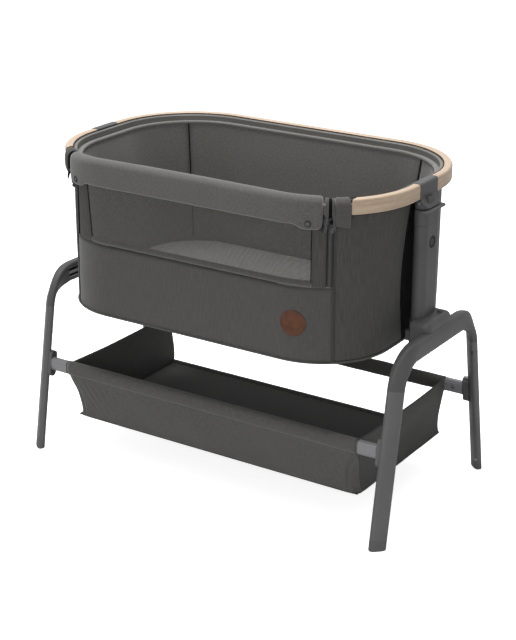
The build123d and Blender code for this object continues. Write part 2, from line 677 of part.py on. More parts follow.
def collar():
    ring = column_prism(COLUMN_TOP_Z + SLIDE_GAP, COLLAR_TOP_Z, -COLLAR_WALL)
    ring = fillet(ring.edges().group_by(Axis.Z)[0], 0.8)
    return ring - column_prism(0, BIG, tube_shrink())


def lever_plate_z():
    return COLLAR_TOP_Z + SLIDE_GAP


def lever():
    """Release lever: a flared plate on the collar with a stem down the post."""
    low = lever_plate_z()
    high = low + LEVER_THICKNESS
    outer = COLUMN_X + COLUMN_WIDTH / 2 + LEVER_REACH
    half = COLUMN_LENGTH / 2 + LEVER_SIDE
    flare = block(COLUMN_X + LEVER_START, outer, -half, half, low, high)
    flare = fillet(flare.edges().filter_by(Axis.Z).group_by(Axis.X)[-1], LEVER_REACH)
    flare = fillet(flare.faces().sort_by(Axis.Z)[-1].outer_wire().edges(), LEVER_THICKNESS / 3)
    plate = flare + column_prism(low, high) - spigot_prism(low - 1, high + 1, SLIDE_GAP)
    half_w = LEVER_STEM_DEPTH / 2
    stem_y = LEVER_STEM_Y
    stem = block(COLUMN_X - half_w, COLUMN_X + half_w, stem_y - LEVER_STEM_WIDTH / 2,
                 stem_y + LEVER_STEM_WIDTH / 2, LOCK_PIN_Z - 2 * LOCK_PIN_HEAD, low + 1)
    return plate + stem


def lock_pin_rod(x0, x1, radius):
    plane = Plane((x0, LOCK_PIN_Y, LOCK_PIN_Z), z_dir=(1, 0, 0))
    return extrude(plane * Circle(radius), amount=x1 - x0)


def lock_pin():
    """Cross pin that rides in the outer post's slot, drawn in by the lever."""
    tip = COLUMN_X - COLUMN_WIDTH / 2 + TOUCH_GAP
    rod = lock_pin_rod(tip, tip + LOCK_PIN_LENGTH, LOCK_PIN_RADIUS)
    end = tip + LOCK_PIN_LENGTH
    half = LOCK_PIN_HEAD
    stem_face = LEVER_STEM_Y - LEVER_STEM_WIDTH / 2 - SLIDE_GAP
    head = block(end - 6, end, LOCK_PIN_Y - half, min(LOCK_PIN_Y + half, stem_face),
                 LOCK_PIN_Z - half, LOCK_PIN_Z + half)
    return rod + head


# ------------------------------------------------------------------------ rim
def plan_ring(inset_out, inset_in, z0, z1):
    """Ring that follows the rim's plan, between two insets from its face."""
    def slab(inset):
        length = 2 * (RIM_HALF_LENGTH - inset)
        width = 2 * (RIM_HALF_WIDTH - inset)
        return extrude(Pos(0, 0, z0) * RectangleRounded(length, width, RIM_RADIUS - inset), amount=z1 - z0)
    return slab(inset_out) - slab(inset_in)


def opening_box(half, z0=0.0, z1=BIG):
    """Everything in front of the middle, as long as the opening."""
    return block(-half, half, -BIG, 0, z0, z1)


def frame_ring():
    """Frame tube all round, with the lip that shows inside the wood."""
    inner = WOOD_SIDE + FRAME_THICKNESS
    tube = plan_ring(WOOD_SIDE, inner, RIM_BOTTOM_Z, FRAME_TOP_Z)
    ring = tube + plan_ring(RIM_THICKNESS + SEAM_GAP, inner, FRAME_TOP_Z, LIP_TOP_Z)
    return chamfer(ring.faces().sort_by(Axis.Z)[-1].edges(), LIP_CHAMFER)


def rail_core(thickness):
    """Hollow of a rail that follows the rim inside its wood."""
    near, far = WOOD_SIDE + FRAME_WALL, WOOD_SIDE + thickness - FRAME_WALL
    return plan_ring(near, far, RIM_BOTTOM_Z + FRAME_WALL, FRAME_TOP_Z - FRAME_WALL)


def rim_frame():
    """Four lengths of the rim's tube, which meet in the brackets and behind the middle.

    The front is open where the drop side's rail sits.
    """
    ring = frame_ring() - rail_core(FRAME_THICKNESS) - opening_box(OPENING_HALF)
    front = ring & block(0, BIG, -BIG, 0, 0, BIG)
    back = ring & block(0, BIG, 0, BIG, 0, BIG)
    return [front, mirror_x(front), back, mirror_x(back)]


def wood_ring():
    """Whole wooden rim before it is cut into three trims."""
    top = plan_ring(0, RIM_THICKNESS, FRAME_TOP_Z, RIM_TOP_Z)
    side = plan_ring(0, WOOD_SIDE, RIM_BOTTOM_Z, FRAME_TOP_Z)
    ring = top + side
    upper = ring.faces().sort_by(Axis.Z)[-1]
    ring = fillet(upper.edges(), WOOD_ROUND)
    lower = ring.faces().sort_by(Axis.Z)[0]
    return fillet(lower.outer_wire().edges(), WOOD_ROUND / 2)


def wood_trims():
    """Long back trim and two short front trims, as (back, right, left)."""
    ring = wood_ring()
    start = BRACKET_HALF_WIDTH + SEAM_GAP
    back = ring & block(-BIG, BIG, start, BIG, 0, BIG)
    right = ring & block(SLEEVE_END + SEAM_GAP, BIG, -BIG, -start, 0, BIG)
    return back, right, mirror_x(right)


def spigot_prism(z0, z1, grow=0.0):
    """Tongue of the rim bracket that goes down through the lever."""
    half_x = COLUMN_WIDTH / 2 - tube_shrink() - TUBE_WALL - FIT_GAP + grow
    half_y = BRACKET_SPIGOT_WIDTH / 2 + grow
    return block(COLUMN_X - half_x, COLUMN_X + half_x, -half_y, half_y, z0, z1)


def bracket_slope(outer):
    """What is cut off the foot so that it slopes out from the clasp's face to the post's."""
    post = COLUMN_X + COLUMN_WIDTH / 2
    low, high = BRACKET_BLOCK_BOTTOM_Z, RIM_BOTTOM_Z
    points = [(post, low), (outer, high), (outer, BIG), (BIG, BIG), (BIG, low)]
    face = Plane.XZ * make_face(Polyline(*points, close=True))
    return extrude(face, amount=BIG, both=True)


def rim_bracket():
    """Right bracket: clasps the rim and carries it on the post."""
    half = BRACKET_HALF_WIDTH
    skin = BRACKET_SKIN
    outer = RIM_HALF_LENGTH + skin
    inner = RIM_HALF_LENGTH - RIM_THICKNESS
    clasp = block(inner, outer, -half, half, RIM_BOTTOM_Z - skin, RIM_TOP_Z + skin)
    upper = clasp.faces().sort_by(Axis.Z)[-1]
    clasp = fillet(upper.edges().filter_by(Axis.Y), WOOD_ROUND + skin / 2)
    foot = column_prism(BRACKET_BLOCK_BOTTOM_Z, RIM_BOTTOM_Z, FIT_GAP) - bracket_slope(outer)
    front = -COLUMN_LENGTH / 2
    boss_plane = Plane((BOSS_X, front + 2 * BOSS_DEPTH, BOSS_Z), z_dir=(0, -1, 0))
    boss = extrude(boss_plane * Circle(BOSS_RADIUS), amount=3 * BOSS_DEPTH)
    bracket = clasp + foot + boss
    bracket += spigot_prism(COLLAR_TOP_Z - BRACKET_SPIGOT_LENGTH, RIM_BOTTOM_Z)
    return bracket - frame_ring()


def bracket_screw():
    return screw_head(Vector(BOSS_X, -COLUMN_LENGTH / 2 - BOSS_DEPTH, BOSS_Z), Vector(0, -1, 0))


# ------------------------------------------------------------- cradle textiles
def shell_plan(z, grow=0.0):
    """Rounded rectangle of the shell's face at a height: it widens upwards."""
    share = (z - SHELL_BOTTOM_Z) / (RIM_BOTTOM_Z - SHELL_BOTTOM_Z)
    length = SHELL_BOTTOM_HALF_LENGTH + share * (SHELL_TOP_HALF_LENGTH - SHELL_BOTTOM_HALF_LENGTH) + grow
    width = SHELL_BOTTOM_HALF_WIDTH + share * (SHELL_TOP_HALF_WIDTH - SHELL_BOTTOM_HALF_WIDTH) + grow
    radius = SHELL_BOTTOM_RADIUS + share * (SHELL_TOP_RADIUS - SHELL_BOTTOM_RADIUS) + grow
    return length, width, radius


def shell_prism(z0, z1, grow=0.0):
    """Solid inside the shell's face between two heights."""
    faces = []
    for z in (z0, z1):
        length, width, radius = shell_plan(z, grow)
        faces.append(Pos(0, 0, z) * RectangleRounded(2 * length, 2 * width, radius))
    return loft(faces, ruled=True)


def shell_layer(z0, z1, grow_out, grow_in):
    """Thin layer that follows the shell's face."""
    return shell_prism(z0, z1, grow_out) - shell_prism(z0 - 1, z1 + 1, grow_in)


def shell_point(x, z, grow=0.0):
    """Point of the shell's front face at an x and a height, and its normal."""
    length, width, radius = shell_plan(z, grow)
    over = abs(x) - (length - radius)
    if over <= 0:
        return Vector(x, -width, z), Vector(0, -1, 0)
    drop = (radius ** 2 - over ** 2) ** 0.5
    side = 1 if x > 0 else -1
    point = Vector(x, -(width - radius) - drop, z)
    return point, Vector(side * over / radius, -drop / radius, 0)


def shell_fabric():
    """Outer cloth of the cradle with its bottom, cut away above the sill."""
    top = RIM_BOTTOM_Z - SLIDE_GAP
    body = shell_prism(SHELL_BOTTOM_Z, top)
    hollow = shell_prism(SHELL_BOTTOM_Z + SHELL_THICKNESS, top + 1, -SHELL_THICKNESS)
    body -= hollow
    return body - opening_box(OPENING_HALF, SILL_Z - SILL_GAP / 2)


def liner_bottom_z():
    return SHELL_BOTTOM_Z + SHELL_THICKNESS + BASE_BOARD_THICKNESS + LINER_GAP


def liner_face(z, grow):
    """Rounded rectangle of the liner's outer face at a height."""
    low = liner_bottom_z()
    share = (z - low) / (LINER_TOP_Z - low)
    start = shell_plan(low, -SHELL_THICKNESS - LINER_GAP)
    inset = WOOD_SIDE + FRAME_THICKNESS + LINER_GAP
    end = (RIM_HALF_LENGTH - inset - LINER_END_INSET, RIM_HALF_WIDTH - inset, RIM_RADIUS - inset)
    length, width, radius = (a + share * (b - a) + grow for a, b in zip(start, end))
    return Pos(0, 0, z) * RectangleRounded(2 * length, 2 * width, radius)


def liner_fabric():
    """Padded lining that hangs from the rim's frame, in four panels sewn side by side."""
    low, high = liner_bottom_z(), LINER_TOP_Z
    outer = loft([liner_face(low, 0), liner_face(high, 0)], ruled=True)
    inner_faces = [liner_face(low - 1, -LINER_THICKNESS), liner_face(high + 1, -LINER_THICKNESS)]
    inner = loft(inner_faces, ruled=True)
    wall = (outer - inner) - opening_box(OPENING_HALF, SILL_Z - SILL_GAP / 2)
    end = wall & block(LINER_SEAM_X, BIG, -BIG, BIG, 0, BIG)
    front = wall & opening_box(LINER_SEAM_X)
    back = wall & block(-LINER_SEAM_X, LINER_SEAM_X, 0, BIG, 0, BIG)
    return [end, mirror_x(end), front, back]


def base_board():
    low = SHELL_BOTTOM_Z + SHELL_THICKNESS
    length, width, radius = shell_plan(low, -SHELL_THICKNESS)
    outline = Pos(0, 0, low) * RectangleRounded(2 * length, 2 * width, radius)
    return extrude(outline, amount=BASE_BOARD_THICKNESS)


def mattress():
    low = SHELL_BOTTOM_Z + SHELL_THICKNESS + BASE_BOARD_THICKNESS
    grow = -SHELL_THICKNESS - LINER_GAP - LINER_THICKNESS - MATTRESS_GAP
    length, width, radius = shell_plan(low, grow)
    outline = Pos(0, 0, low) * RectangleRounded(2 * length, 2 * width, radius)
    pad = extrude(outline, amount=MATTRESS_THICKNESS)
    return fillet(pad.faces().sort_by(Axis.Z)[-1].edges(), MATTRESS_ROUND)


def corner_sleeve():
    """Right cloth sleeve that wraps the rim beside the drop side."""
    cap = plan_ring(-SLEEVE_PROUD, WOOD_SIDE + FRAME_THICKNESS, RIM_BOTTOM_Z, SLEEVE_TOP_Z)
    skirt = plan_ring(-SLEEVE_PROUD, FABRIC - SLEEVE_PROUD, SLEEVE_BOTTOM_Z, RIM_BOTTOM_Z)
    return (cap + skirt - frame_ring()) & block(SLEEVE_START, SLEEVE_END, -BIG, 0, 0, BIG)


def zip_tape():
    half = ZIP_WIDTH / 2
    layer = shell_layer(ZIP_BOTTOM_Z, ZIP_TOP_Z, ZIP_THICKNESS, 0)
    return layer & block(ZIP_X - half, ZIP_X + half, -BIG, 0, 0, BIG)


def leather_patch():
    """Round patch sewn on the front, bent to the shell's face."""
    point, normal = shell_point(PATCH_X, PATCH_Z)
    plane = Plane(point - normal * PATCH_RADIUS, z_dir=normal)
    disc = extrude(plane * Circle(PATCH_RADIUS), amount=2 * PATCH_RADIUS)
    low, high = PATCH_Z - 2 * PATCH_RADIUS, PATCH_Z + 2 * PATCH_RADIUS
    return shell_layer(low, high, PATCH_THICKNESS, 0) & disc


# ------------------------------------------------------------------ drop side
def drop_rail():
    ring = plan_ring(WOOD_SIDE, WOOD_SIDE + RAIL_THICKNESS, RIM_BOTTOM_Z, FRAME_TOP_Z)
    return (ring - rail_core(RAIL_THICKNESS)) & opening_box(OPENING_HALF - TOUCH_GAP)


def drop_panel():
    """Mesh panel of the drop side, in the line of the shell."""
    top = RIM_BOTTOM_Z
    layer = shell_layer(SILL_Z + SILL_GAP / 2, top, 0, -SHELL_THICKNESS)
    return layer & opening_box(OPENING_HALF - TOUCH_GAP)


def flap_outline():
    """Prism of the flap's front view: a long leaf with a lower tab at each end."""
    half = OPENING_HALF - TOUCH_GAP
    tab = half - FLAP_TAB_LENGTH
    low, high = FLAP_TAB_BOTTOM_Z, FLAP_BOTTOM_Z
    points = [(-half, low), (-tab, low), (-tab, high), (tab, high), (tab, low), (half, low)]
    face = Plane.XZ * make_face(Polyline(*points, (half, BIG), (-half, BIG), close=True))
    outline = extrude(face, amount=BIG)
    ends = outline.edges().filter_by(Axis.Y).group_by(Axis.Z)[0]
    return fillet(ends, FLAP_TAB_ROUND)


def drop_flap():
    """Padded flap folded over the rail, with a leaf hanging down outside."""
    inner = WOOD_SIDE + RAIL_THICKNESS
    fold = plan_ring(-FLAP_PROUD, inner + FLAP_INNER_LEAF, FRAME_TOP_Z, FLAP_TOP_Z)
    fold = fillet(fold.faces().sort_by(Axis.Z)[-1].edges(), FLAP_PROUD)
    leaf = plan_ring(-FLAP_PROUD, FLAP_LEAF - FLAP_PROUD, FLAP_TAB_BOTTOM_Z, FRAME_TOP_Z)
    back = plan_ring(inner, inner + FLAP_INNER_LEAF, FLAP_INNER_BOTTOM_Z, FRAME_TOP_Z)
    return (fold + leaf + back) & flap_outline()


def rim_point(x, z, grow=0.0):
    """Point of the rim's front face at an x, moved out by grow, and its normal."""
    length, width, radius = (RIM_HALF_LENGTH + grow, RIM_HALF_WIDTH + grow, RIM_RADIUS + grow)
    over = abs(x) - (length - radius)
    side = 1 if x > 0 else -1
    if over <= 0:
        return Vector(x, -width, z), Vector(0, -1, 0)
    drop = (radius ** 2 - over ** 2) ** 0.5
    return Vector(x, -(width - radius) - drop, z), Vector(side * over / radius, -drop / radius, 0)


def press_stud():
    """Right press stud on the flap's hanging leaf."""
    point, normal = rim_point(STUD_X, STUD_Z, FLAP_PROUD)
    plane = Plane(point - normal * 1.0, z_dir=normal)
    stud = extrude(plane * Circle(STUD_RADIUS), amount=STUD_HEIGHT + 1.0)
    stud = fillet(outer_circle(stud, point + normal * STUD_HEIGHT), STUD_HEIGHT / 3)
    return stud - plan_ring(-FLAP_PROUD, FLAP_LEAF - FLAP_PROUD, FLAP_TAB_BOTTOM_Z, FRAME_TOP_Z)


# ------------------------------------------------------------------------ zips
def slider_plane(out):
    """Plane on the zip at the slider, its z axis out of the shell's face."""
    point, normal = shell_point(ZIP_X, SLIDER_Z)
    start = point + normal * (ZIP_THICKNESS + SLIDER_GAP + out)
    return Plane(start, x_dir=Vector(0, 0, 1).cross(normal), z_dir=normal)


def slider_part(x0, x1, y0, y1, z0, z1):
    """Box in the slider's own frame: x across, y up, z out of the shell."""
    return slider_plane(0) * block(x0, x1, y0, y1, z0, z1)


def pull_pin_rod(half, radius):
    plane = slider_plane(SLIDER_THICKNESS + PULL_OFFSET)
    cross = Plane(plane.origin - plane.x_dir * half, x_dir=plane.z_dir, z_dir=plane.x_dir)
    return extrude(cross * Circle(radius), amount=2 * half)


def zip_slider():
    """Slider body with two ears that hold the pull tab's pin."""
    half_w = SLIDER_WIDTH / 2
    half_h = SLIDER_HEIGHT / 2
    body = slider_part(-half_w, half_w, -half_h, half_h, 0, SLIDER_THICKNESS)
    plane = slider_plane(0)
    body = fillet(body.edges().filter_by(Axis(plane.origin, plane.z_dir)), 1.5)
    out = SLIDER_THICKNESS + PULL_OFFSET + 2 * PULL_PIN_RADIUS
    gap = 1.2
    for side in (-1, 1):
        a, b = sorted((side * (gap), side * (gap + 1.4)))
        body += slider_part(a, b, -2.2, 2.2, SLIDER_THICKNESS - 1, out)
    return body + pull_pin_rod(gap + 0.5, PULL_PIN_RADIUS)


def zip_pull():
    """Pull tab that hangs on the slider's pin."""
    mid = SLIDER_THICKNESS + PULL_OFFSET
    half_t = PULL_THICKNESS / 2
    eye = 1.0
    neck = slider_part(-eye, eye, -6.5, 2.2, mid - 2.1, mid + 2.1)
    half_w = PULL_WIDTH / 2
    tab = slider_part(-half_w, half_w, -PULL_LENGTH, -4.5, mid - half_t, mid + half_t)
    return (neck + tab) - pull_pin_rod(SLIDER_WIDTH, PULL_PIN_RADIUS + PIN_RUNNING_GAP)


# ---------------------------------------------------------------------- output
frame_right = side_frame()
save(frame_right, "side_frame_right")
save(mirror_x(frame_right), "side_frame_left")
save(slide_rail(), "slide_rail_right")
save(mirror_x(slide_rail()), "slide_rail_left")

for name, shape in (("leg_tube", leg_tube()), ("leg_snap_pin", snap_pin())):
    save(shape, f"{name}_front_right")
    save(mirror_x(shape), f"{name}_front_left")
    save(mirror_y(shape), f"{name}_rear_right")
    save(turn_half(shape), f"{name}_rear_left")


def four(shape):
    """The same small part at all four legs."""
    return [shape, mirror_x(shape), mirror_y(shape), turn_half(shape)]


save(four(foot_cap()), "foot_caps")
save(four(rail_bracket()), "rail_brackets")
save(four(foot_screw()) + four(rail_screw()), "stand_screws")
save(basket_rail(), "basket_rail_front")
save(mirror_y(basket_rail()), "basket_rail_rear")
save(basket_fabric(), "basket_fabric")
save(basket_board(), "basket_board")

for name, make in (
    ("carriage", carriage),
    ("column", column),
    ("slide_button", slide_button),
    ("inner_tube", inner_tube),
    ("collar", collar),
    ("release_lever", lever),
    ("lock_pin", lock_pin),
    ("rim_bracket", rim_bracket),
    ("zip_slider", zip_slider),
    ("zip_pull", zip_pull),
):
    shape = make()
    save(shape, f"{name}_right")
    save(mirror_x(shape), f"{name}_left")

for name, make in (
    ("carriage_covers", carriage_cover),
    ("height_windows", height_window),
    ("bracket_screws", bracket_screw),
    ("corner_sleeves", corner_sleeve),
    ("zip_tapes", zip_tape),
    ("press_studs", press_stud),
):
    shape = make()
    save([shape, mirror_x(shape)], name)

save(rim_frame(), "rim_frame")
back_trim, right_trim, left_trim = wood_trims()
save(back_trim, "wood_trim_back")
save(right_trim, "wood_trim_front_right")
save(left_trim, "wood_trim_front_left")
save(shell_fabric(), "shell_fabric")
save(liner_fabric(), "liner_fabric")
save(base_board(), "base_board")
save(mattress(), "mattress")
save(leather_patch(), "leather_patch")
save(drop_rail(), "drop_rail")
save(drop_panel(), "drop_panel")
save(drop_flap(), "drop_flap")
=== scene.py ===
"""Looks of the bedside bassinet: cloth, wood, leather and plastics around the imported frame.

Metres, +Z up, origin on the floor at the middle of the four feet, -Y towards the side that folds down.
"""

import json
from math import asin, cos, degrees, pi, radians, sin, sqrt

import bmesh
import bpy
import numpy as np
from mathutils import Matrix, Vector, noise


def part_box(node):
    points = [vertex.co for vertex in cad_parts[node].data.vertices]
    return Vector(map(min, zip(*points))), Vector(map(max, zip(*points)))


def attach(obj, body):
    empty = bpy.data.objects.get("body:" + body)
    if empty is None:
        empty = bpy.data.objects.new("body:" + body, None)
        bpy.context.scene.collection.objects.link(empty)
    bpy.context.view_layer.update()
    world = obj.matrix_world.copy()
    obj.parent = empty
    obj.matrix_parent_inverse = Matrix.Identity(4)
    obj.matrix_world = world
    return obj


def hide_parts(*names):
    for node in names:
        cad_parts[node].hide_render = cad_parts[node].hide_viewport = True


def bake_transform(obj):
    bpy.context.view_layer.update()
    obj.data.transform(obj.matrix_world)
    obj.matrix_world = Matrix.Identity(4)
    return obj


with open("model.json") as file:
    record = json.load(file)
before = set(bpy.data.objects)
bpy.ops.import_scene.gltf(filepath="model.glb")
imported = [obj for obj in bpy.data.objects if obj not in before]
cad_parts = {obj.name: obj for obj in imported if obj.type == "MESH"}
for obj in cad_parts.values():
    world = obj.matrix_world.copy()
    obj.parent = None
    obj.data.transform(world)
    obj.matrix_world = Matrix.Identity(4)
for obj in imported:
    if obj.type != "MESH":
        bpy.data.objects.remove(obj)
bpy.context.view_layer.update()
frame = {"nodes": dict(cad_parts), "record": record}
scene = bpy.context.scene

# ---- plans of the cradle: half-length, half-width and corner radius ----
SHELL_LOW = (0.3790, 0.2455, 0.1555)
SHELL_HIGH = (0.3915, 0.2480, 0.1850)
RIM = (0.4155, 0.2585, 0.2040)
LINER_HIGH = (0.3860, 0.2315, 0.1770)
OPENING = 0.3115               # half the length of the opening in the front
CLOTH = 0.0022                 # two layers of cloth with their backing
CLOTH_STACK = 0.005            # shell cloth and air behind the lining

SHELL_LOW_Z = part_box("shell_fabric")[0].z
SHELL_TOP_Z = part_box("shell_fabric")[1].z
RIM_TOP_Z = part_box("wood_trim_back")[1].z
RIM_LOW_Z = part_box("wood_trim_back")[0].z
SILL_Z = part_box("drop_panel")[0].z
LINER_LOW_Z, LINER_TOP_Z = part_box("liner_fabric")[0].z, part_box("liner_fabric")[1].z


# ------------------------------------------------------------------ node trees
def linear(code):
    """Linear colour of an sRGB hex value."""
    parts = [int(code[i:i + 2], 16) / 255 for i in (1, 3, 5)]
    return (*[c / 12.92 if c <= 0.04045 else ((c + 0.055) / 1.055) ** 2.4 for c in parts], 1.0)


def add(tree, kind, inputs=None, **settings):
    """Add a node; inputs maps its sockets to values or to other nodes' outputs."""
    made = tree.nodes.new(kind)
    for name, value in settings.items():
        setattr(made, name, value)
    for key, value in (inputs or {}).items():
        if isinstance(value, bpy.types.NodeSocket):
            tree.links.new(value, made.inputs[key])
        else:
            made.inputs[key].default_value = value
    return made


def new_material(name, surface, colour, bump=None):
    """Material whose shader has fixed values, a colour and, with bump, a relief."""
    material = bpy.data.materials.new(name)
    material.use_nodes = True
    tree = material.node_tree
    tree.nodes.clear()
    shader = add(tree, "ShaderNodeBsdfPrincipled", surface)
    tree.links.new(colour(tree), shader.inputs["Base Color"])
    if bump:
        height, distance, strength = bump(tree)
        relief = add(tree, "ShaderNodeBump", {
            "Height": height, "Distance": distance, "Strength": strength})
        tree.links.new(relief.outputs["Normal"], shader.inputs["Normal"])
    add(tree, "ShaderNodeOutputMaterial", {"Surface": shader.outputs["BSDF"]})
    return material


def mottled(low, high, size, detail=4.0, stretch=(1, 1, 1)):
    """Colour that wanders between two shades over patches of a real size."""
    def build(tree):
        place = add(tree, "ShaderNodeTexCoord").outputs["Object"]
        mapped = add(tree, "ShaderNodeMapping", {"Vector": place, "Scale": stretch})
        cloud = add(tree, "ShaderNodeTexNoise", {
            "Vector": mapped.outputs[0], "Scale": 1 / size, "Detail": detail})
        ramp = add(tree, "ShaderNodeMapRange", {
            "Value": cloud.outputs["Fac"], "From Min": 0.35, "From Max": 0.65})
        mix = add(tree, "ShaderNodeMix", {
            "Factor": ramp.outputs["Result"], "A": linear(low), "B": linear(high)}, data_type="RGBA")
        return mix.outputs["Result"]
    return build


def grit(size, height):
    """Fine relief of a moulded, coated or cast surface, drawn coarser than real grit so that it shows."""
    def build(tree):
        place = add(tree, "ShaderNodeTexCoord").outputs["Object"]
        cloud = add(tree, "ShaderNodeTexNoise", {"Vector": place, "Scale": 1 / size, "Detail": 3.0})
        return cloud.outputs["Fac"], height, 1.0
    return build


def weave(thread, height):
    """Relief of a plain weave on the piece's own UV map, which is in metres."""
    def build(tree):
        place = add(tree, "ShaderNodeTexCoord").outputs["UV"]
        waves = []
        # The node's bands lie 2 pi / (20 Scale) apart, and a weave repeats every two threads.
        for direction in ("X", "Y"):
            wave = add(tree, "ShaderNodeTexWave", {
                "Vector": place, "Scale": 1 / (20 * thread) * pi, "Distortion": 0.4,
                "Detail": 2.0, "Detail Scale": 4.0}, bands_direction=direction)
            waves.append(wave.outputs["Fac"])
        both = add(tree, "ShaderNodeMath", {0: waves[0], 1: waves[1]}, operation="MULTIPLY")
        return both.outputs[0], height, 1.0
    return build


def heather(dark, light, thread, length, share=0.5):
    """Melange colour: short dyed fibres along the warp and the weft, drawn as wide as a thread."""
    def build(tree):
        place = add(tree, "ShaderNodeTexCoord").outputs["UV"]
        fibres = []
        for stretch in ((thread / length, 1, 1), (1, thread / length, 1)):
            mapped = add(tree, "ShaderNodeMapping", {"Vector": place, "Scale": stretch})
            cloud = add(tree, "ShaderNodeTexNoise", {
                "Vector": mapped.outputs[0], "Scale": 1 / thread, "Detail": 2.0, "Roughness": 0.6})
            fibres.append(cloud.outputs["Fac"])
        both = add(tree, "ShaderNodeMix", {"Factor": share, "A": fibres[0], "B": fibres[1]})
        ramp = add(tree, "ShaderNodeMapRange", {
            "Value": both.outputs["Result"], "From Min": 0.42, "From Max": 0.6})
        mix = add(tree, "ShaderNodeMix", {
            "Factor": ramp.outputs["Result"], "A": linear(dark), "B": linear(light)}, data_type="RGBA")
        return mix.outputs["Result"]
    return build


# ------------------------------------------------------------------- materials
# What the cloths share: dull, with a soft sheen at grazing angles. Their threads are drawn about twice
# as coarse as real ones, which are too fine to show.
SOFT = {"Roughness": 0.92, "Sheen Weight": 0.25, "Sheen Roughness": 0.5, "Specular IOR Level": 0.25}

# Solution-dyed polyester, plain woven: dull, close and even. Threads 0.6 mm apart are drawn at 1.2 mm.
SHELL_CLOTH = new_material("woven_polyester", SOFT,
                           heather("#474644", "#504f4d", 0.0014, 0.03, share=0.7), weave(0.0012, 0.0002))
# The same cloth, darker and with less sheen: painted shade, on the panels under the zip and on parts that lie
# in shade.
SHADED_CLOTH = new_material("woven_polyester_painted_shade", {**SOFT, "Sheen Weight": 0.05},
                          heather("#424140", "#4c4b49", 0.0016, 0.04, share=0.75), weave(0.0012, 0.0002))
# Brushed jersey over wadding: heathered, with a short nap that catches light at its edges.
PADDED_CLOTH = new_material("brushed_jersey", {**SOFT, "Sheen Weight": 0.4},
                            heather("#504f4d", "#5e5d5b", 0.0017, 0.006), weave(0.0014, 0.00025))
# The same jersey in a paler yarn for the lining.
LINER_CLOTH = new_material("brushed_jersey_lining", {**SOFT, "Sheen Weight": 0.35},
                           heather("#666562", "#767572", 0.0019, 0.006), weave(0.0015, 0.00025))
# Plain-woven canvas for the basket, coated on the back, so a little stiffer and smoother.
CANVAS = new_material("basket_canvas", {**SOFT, "Roughness": 0.85},
                      heather("#494846", "#555451", 0.0016, 0.014), weave(0.0014, 0.00025))
# The same canvas, darker: painted shade on the ends, the floor and the board, which lie in the cradle's
# shadow.
SHADED_CANVAS = new_material("basket_canvas_painted_shade", {**SOFT, "Roughness": 0.85, "Sheen Weight": 0.1},
                           heather("#3b3a39", "#454442", 0.0016, 0.014), weave(0.0014, 0.00025))
# Quilted cotton cover of the mattress.
PAD_COTTON = new_material("mattress_cotton", {**SOFT, "Sheen Weight": 0.2},
                          heather("#83827f", "#979693", 0.0018, 0.008), weave(0.0016, 0.0003))
# Near-black cloth: painted shade behind the posts, in the gaps and on the left strips by the zips, and along
# seams.
SHADOW_CLOTH = new_material("painted_shadow_cloth", {**SOFT, "Sheen Weight": 0.0, "Specular IOR Level": 0.1},
                           heather("#090909", "#121212", 0.0014, 0.01), weave(0.0012, 0.0002))
# Glass-filled nylon, injection moulded in a spark-eroded tool: satin, with a fine even grain.
NYLON = new_material("moulded_nylon", {"Roughness": 0.55, "Specular IOR Level": 0.35, "IOR": 1.53},
                     mottled("#454546", "#4b4b4c", 0.06), grit(0.0012, 0.00006))
# Aluminium tube with a satin powder coat: faint orange peel.
COATED_TUBE = new_material("powder_coated_aluminium", {"Roughness": 0.46, "Specular IOR Level": 0.45},
                           mottled("#525253", "#585859", 0.08), grit(0.002, 0.00008))
# Moulded rubber feet: dull, a little paler than the tube above them.
RUBBER = new_material("moulded_rubber", {"Roughness": 0.7, "Specular IOR Level": 0.3},
                      mottled("#575758", "#5e5e5f", 0.03), grit(0.0015, 0.0001))
# Near-black, dull line: painted shadow in the seam between the wood and the rim's tube.
SEAM_SHADOW = new_material("painted_seam_shadow", {"Roughness": 0.8, "Specular IOR Level": 0.2},
                           mottled("#1d1a18", "#2a2623", 0.02), grit(0.001, 0.00004))
# Brushed and anodised rails: soft streaks of light along them.
ANODISED = new_material("anodised_aluminium", {"Metallic": 1.0, "Roughness": 0.38},
                        mottled("#6f7072", "#7a7b7d", 0.01, stretch=(1, 0.05, 1)), grit(0.001, 0.00003))
# Zinc-plated screws and lock pins: small bright points.
STEEL = new_material("zinc_plated_steel", {"Metallic": 1.0, "Roughness": 0.35},
                     mottled("#8c8d8f", "#a3a4a6", 0.01), grit(0.001, 0.00003))
# Turned acetal pins: smooth, with a sharper gleam than the moulded parts.
PIN_PLASTIC = new_material("acetal_pin", {"Roughness": 0.3}, mottled("#3c3c3d", "#444445", 0.02),
                           grit(0.002, 0.00003))


def ringed(centre, plane, bands):
    """Colour in rings round a centre on both sides of the bed.

    plane has a 0 for the axis the rings face; bands are outer radii with their colours.
    """
    def build(tree):
        place = add(tree, "ShaderNodeTexCoord").outputs["Object"]
        apart = add(tree, "ShaderNodeVectorMath", {0: place}, operation="ABSOLUTE")
        away = add(tree, "ShaderNodeVectorMath", {0: apart.outputs[0], 1: centre}, operation="SUBTRACT")
        flat = add(tree, "ShaderNodeVectorMath", {
            0: away.outputs[0], 1: plane}, operation="MULTIPLY")
        radius = add(tree, "ShaderNodeVectorMath", {0: flat.outputs[0]}, operation="LENGTH")
        shade = linear(bands[0][1])
        for (edge, _), (_, outside) in zip(bands, bands[1:]):
            past = add(tree, "ShaderNodeMapRange", {
                "Value": radius.outputs["Value"], "From Min": edge - 0.0003, "From Max": edge + 0.0003})
            shade = add(tree, "ShaderNodeMix", {
                "Factor": past.outputs["Result"], "A": shade, "B": linear(outside)}, data_type="RGBA"
            ).outputs["Result"]
        return shade
    return build


LENS_CENTRE = (0.0, 0.0, 0.592)
STUD_CENTRE = (0.2865, 0.25, 0.671)
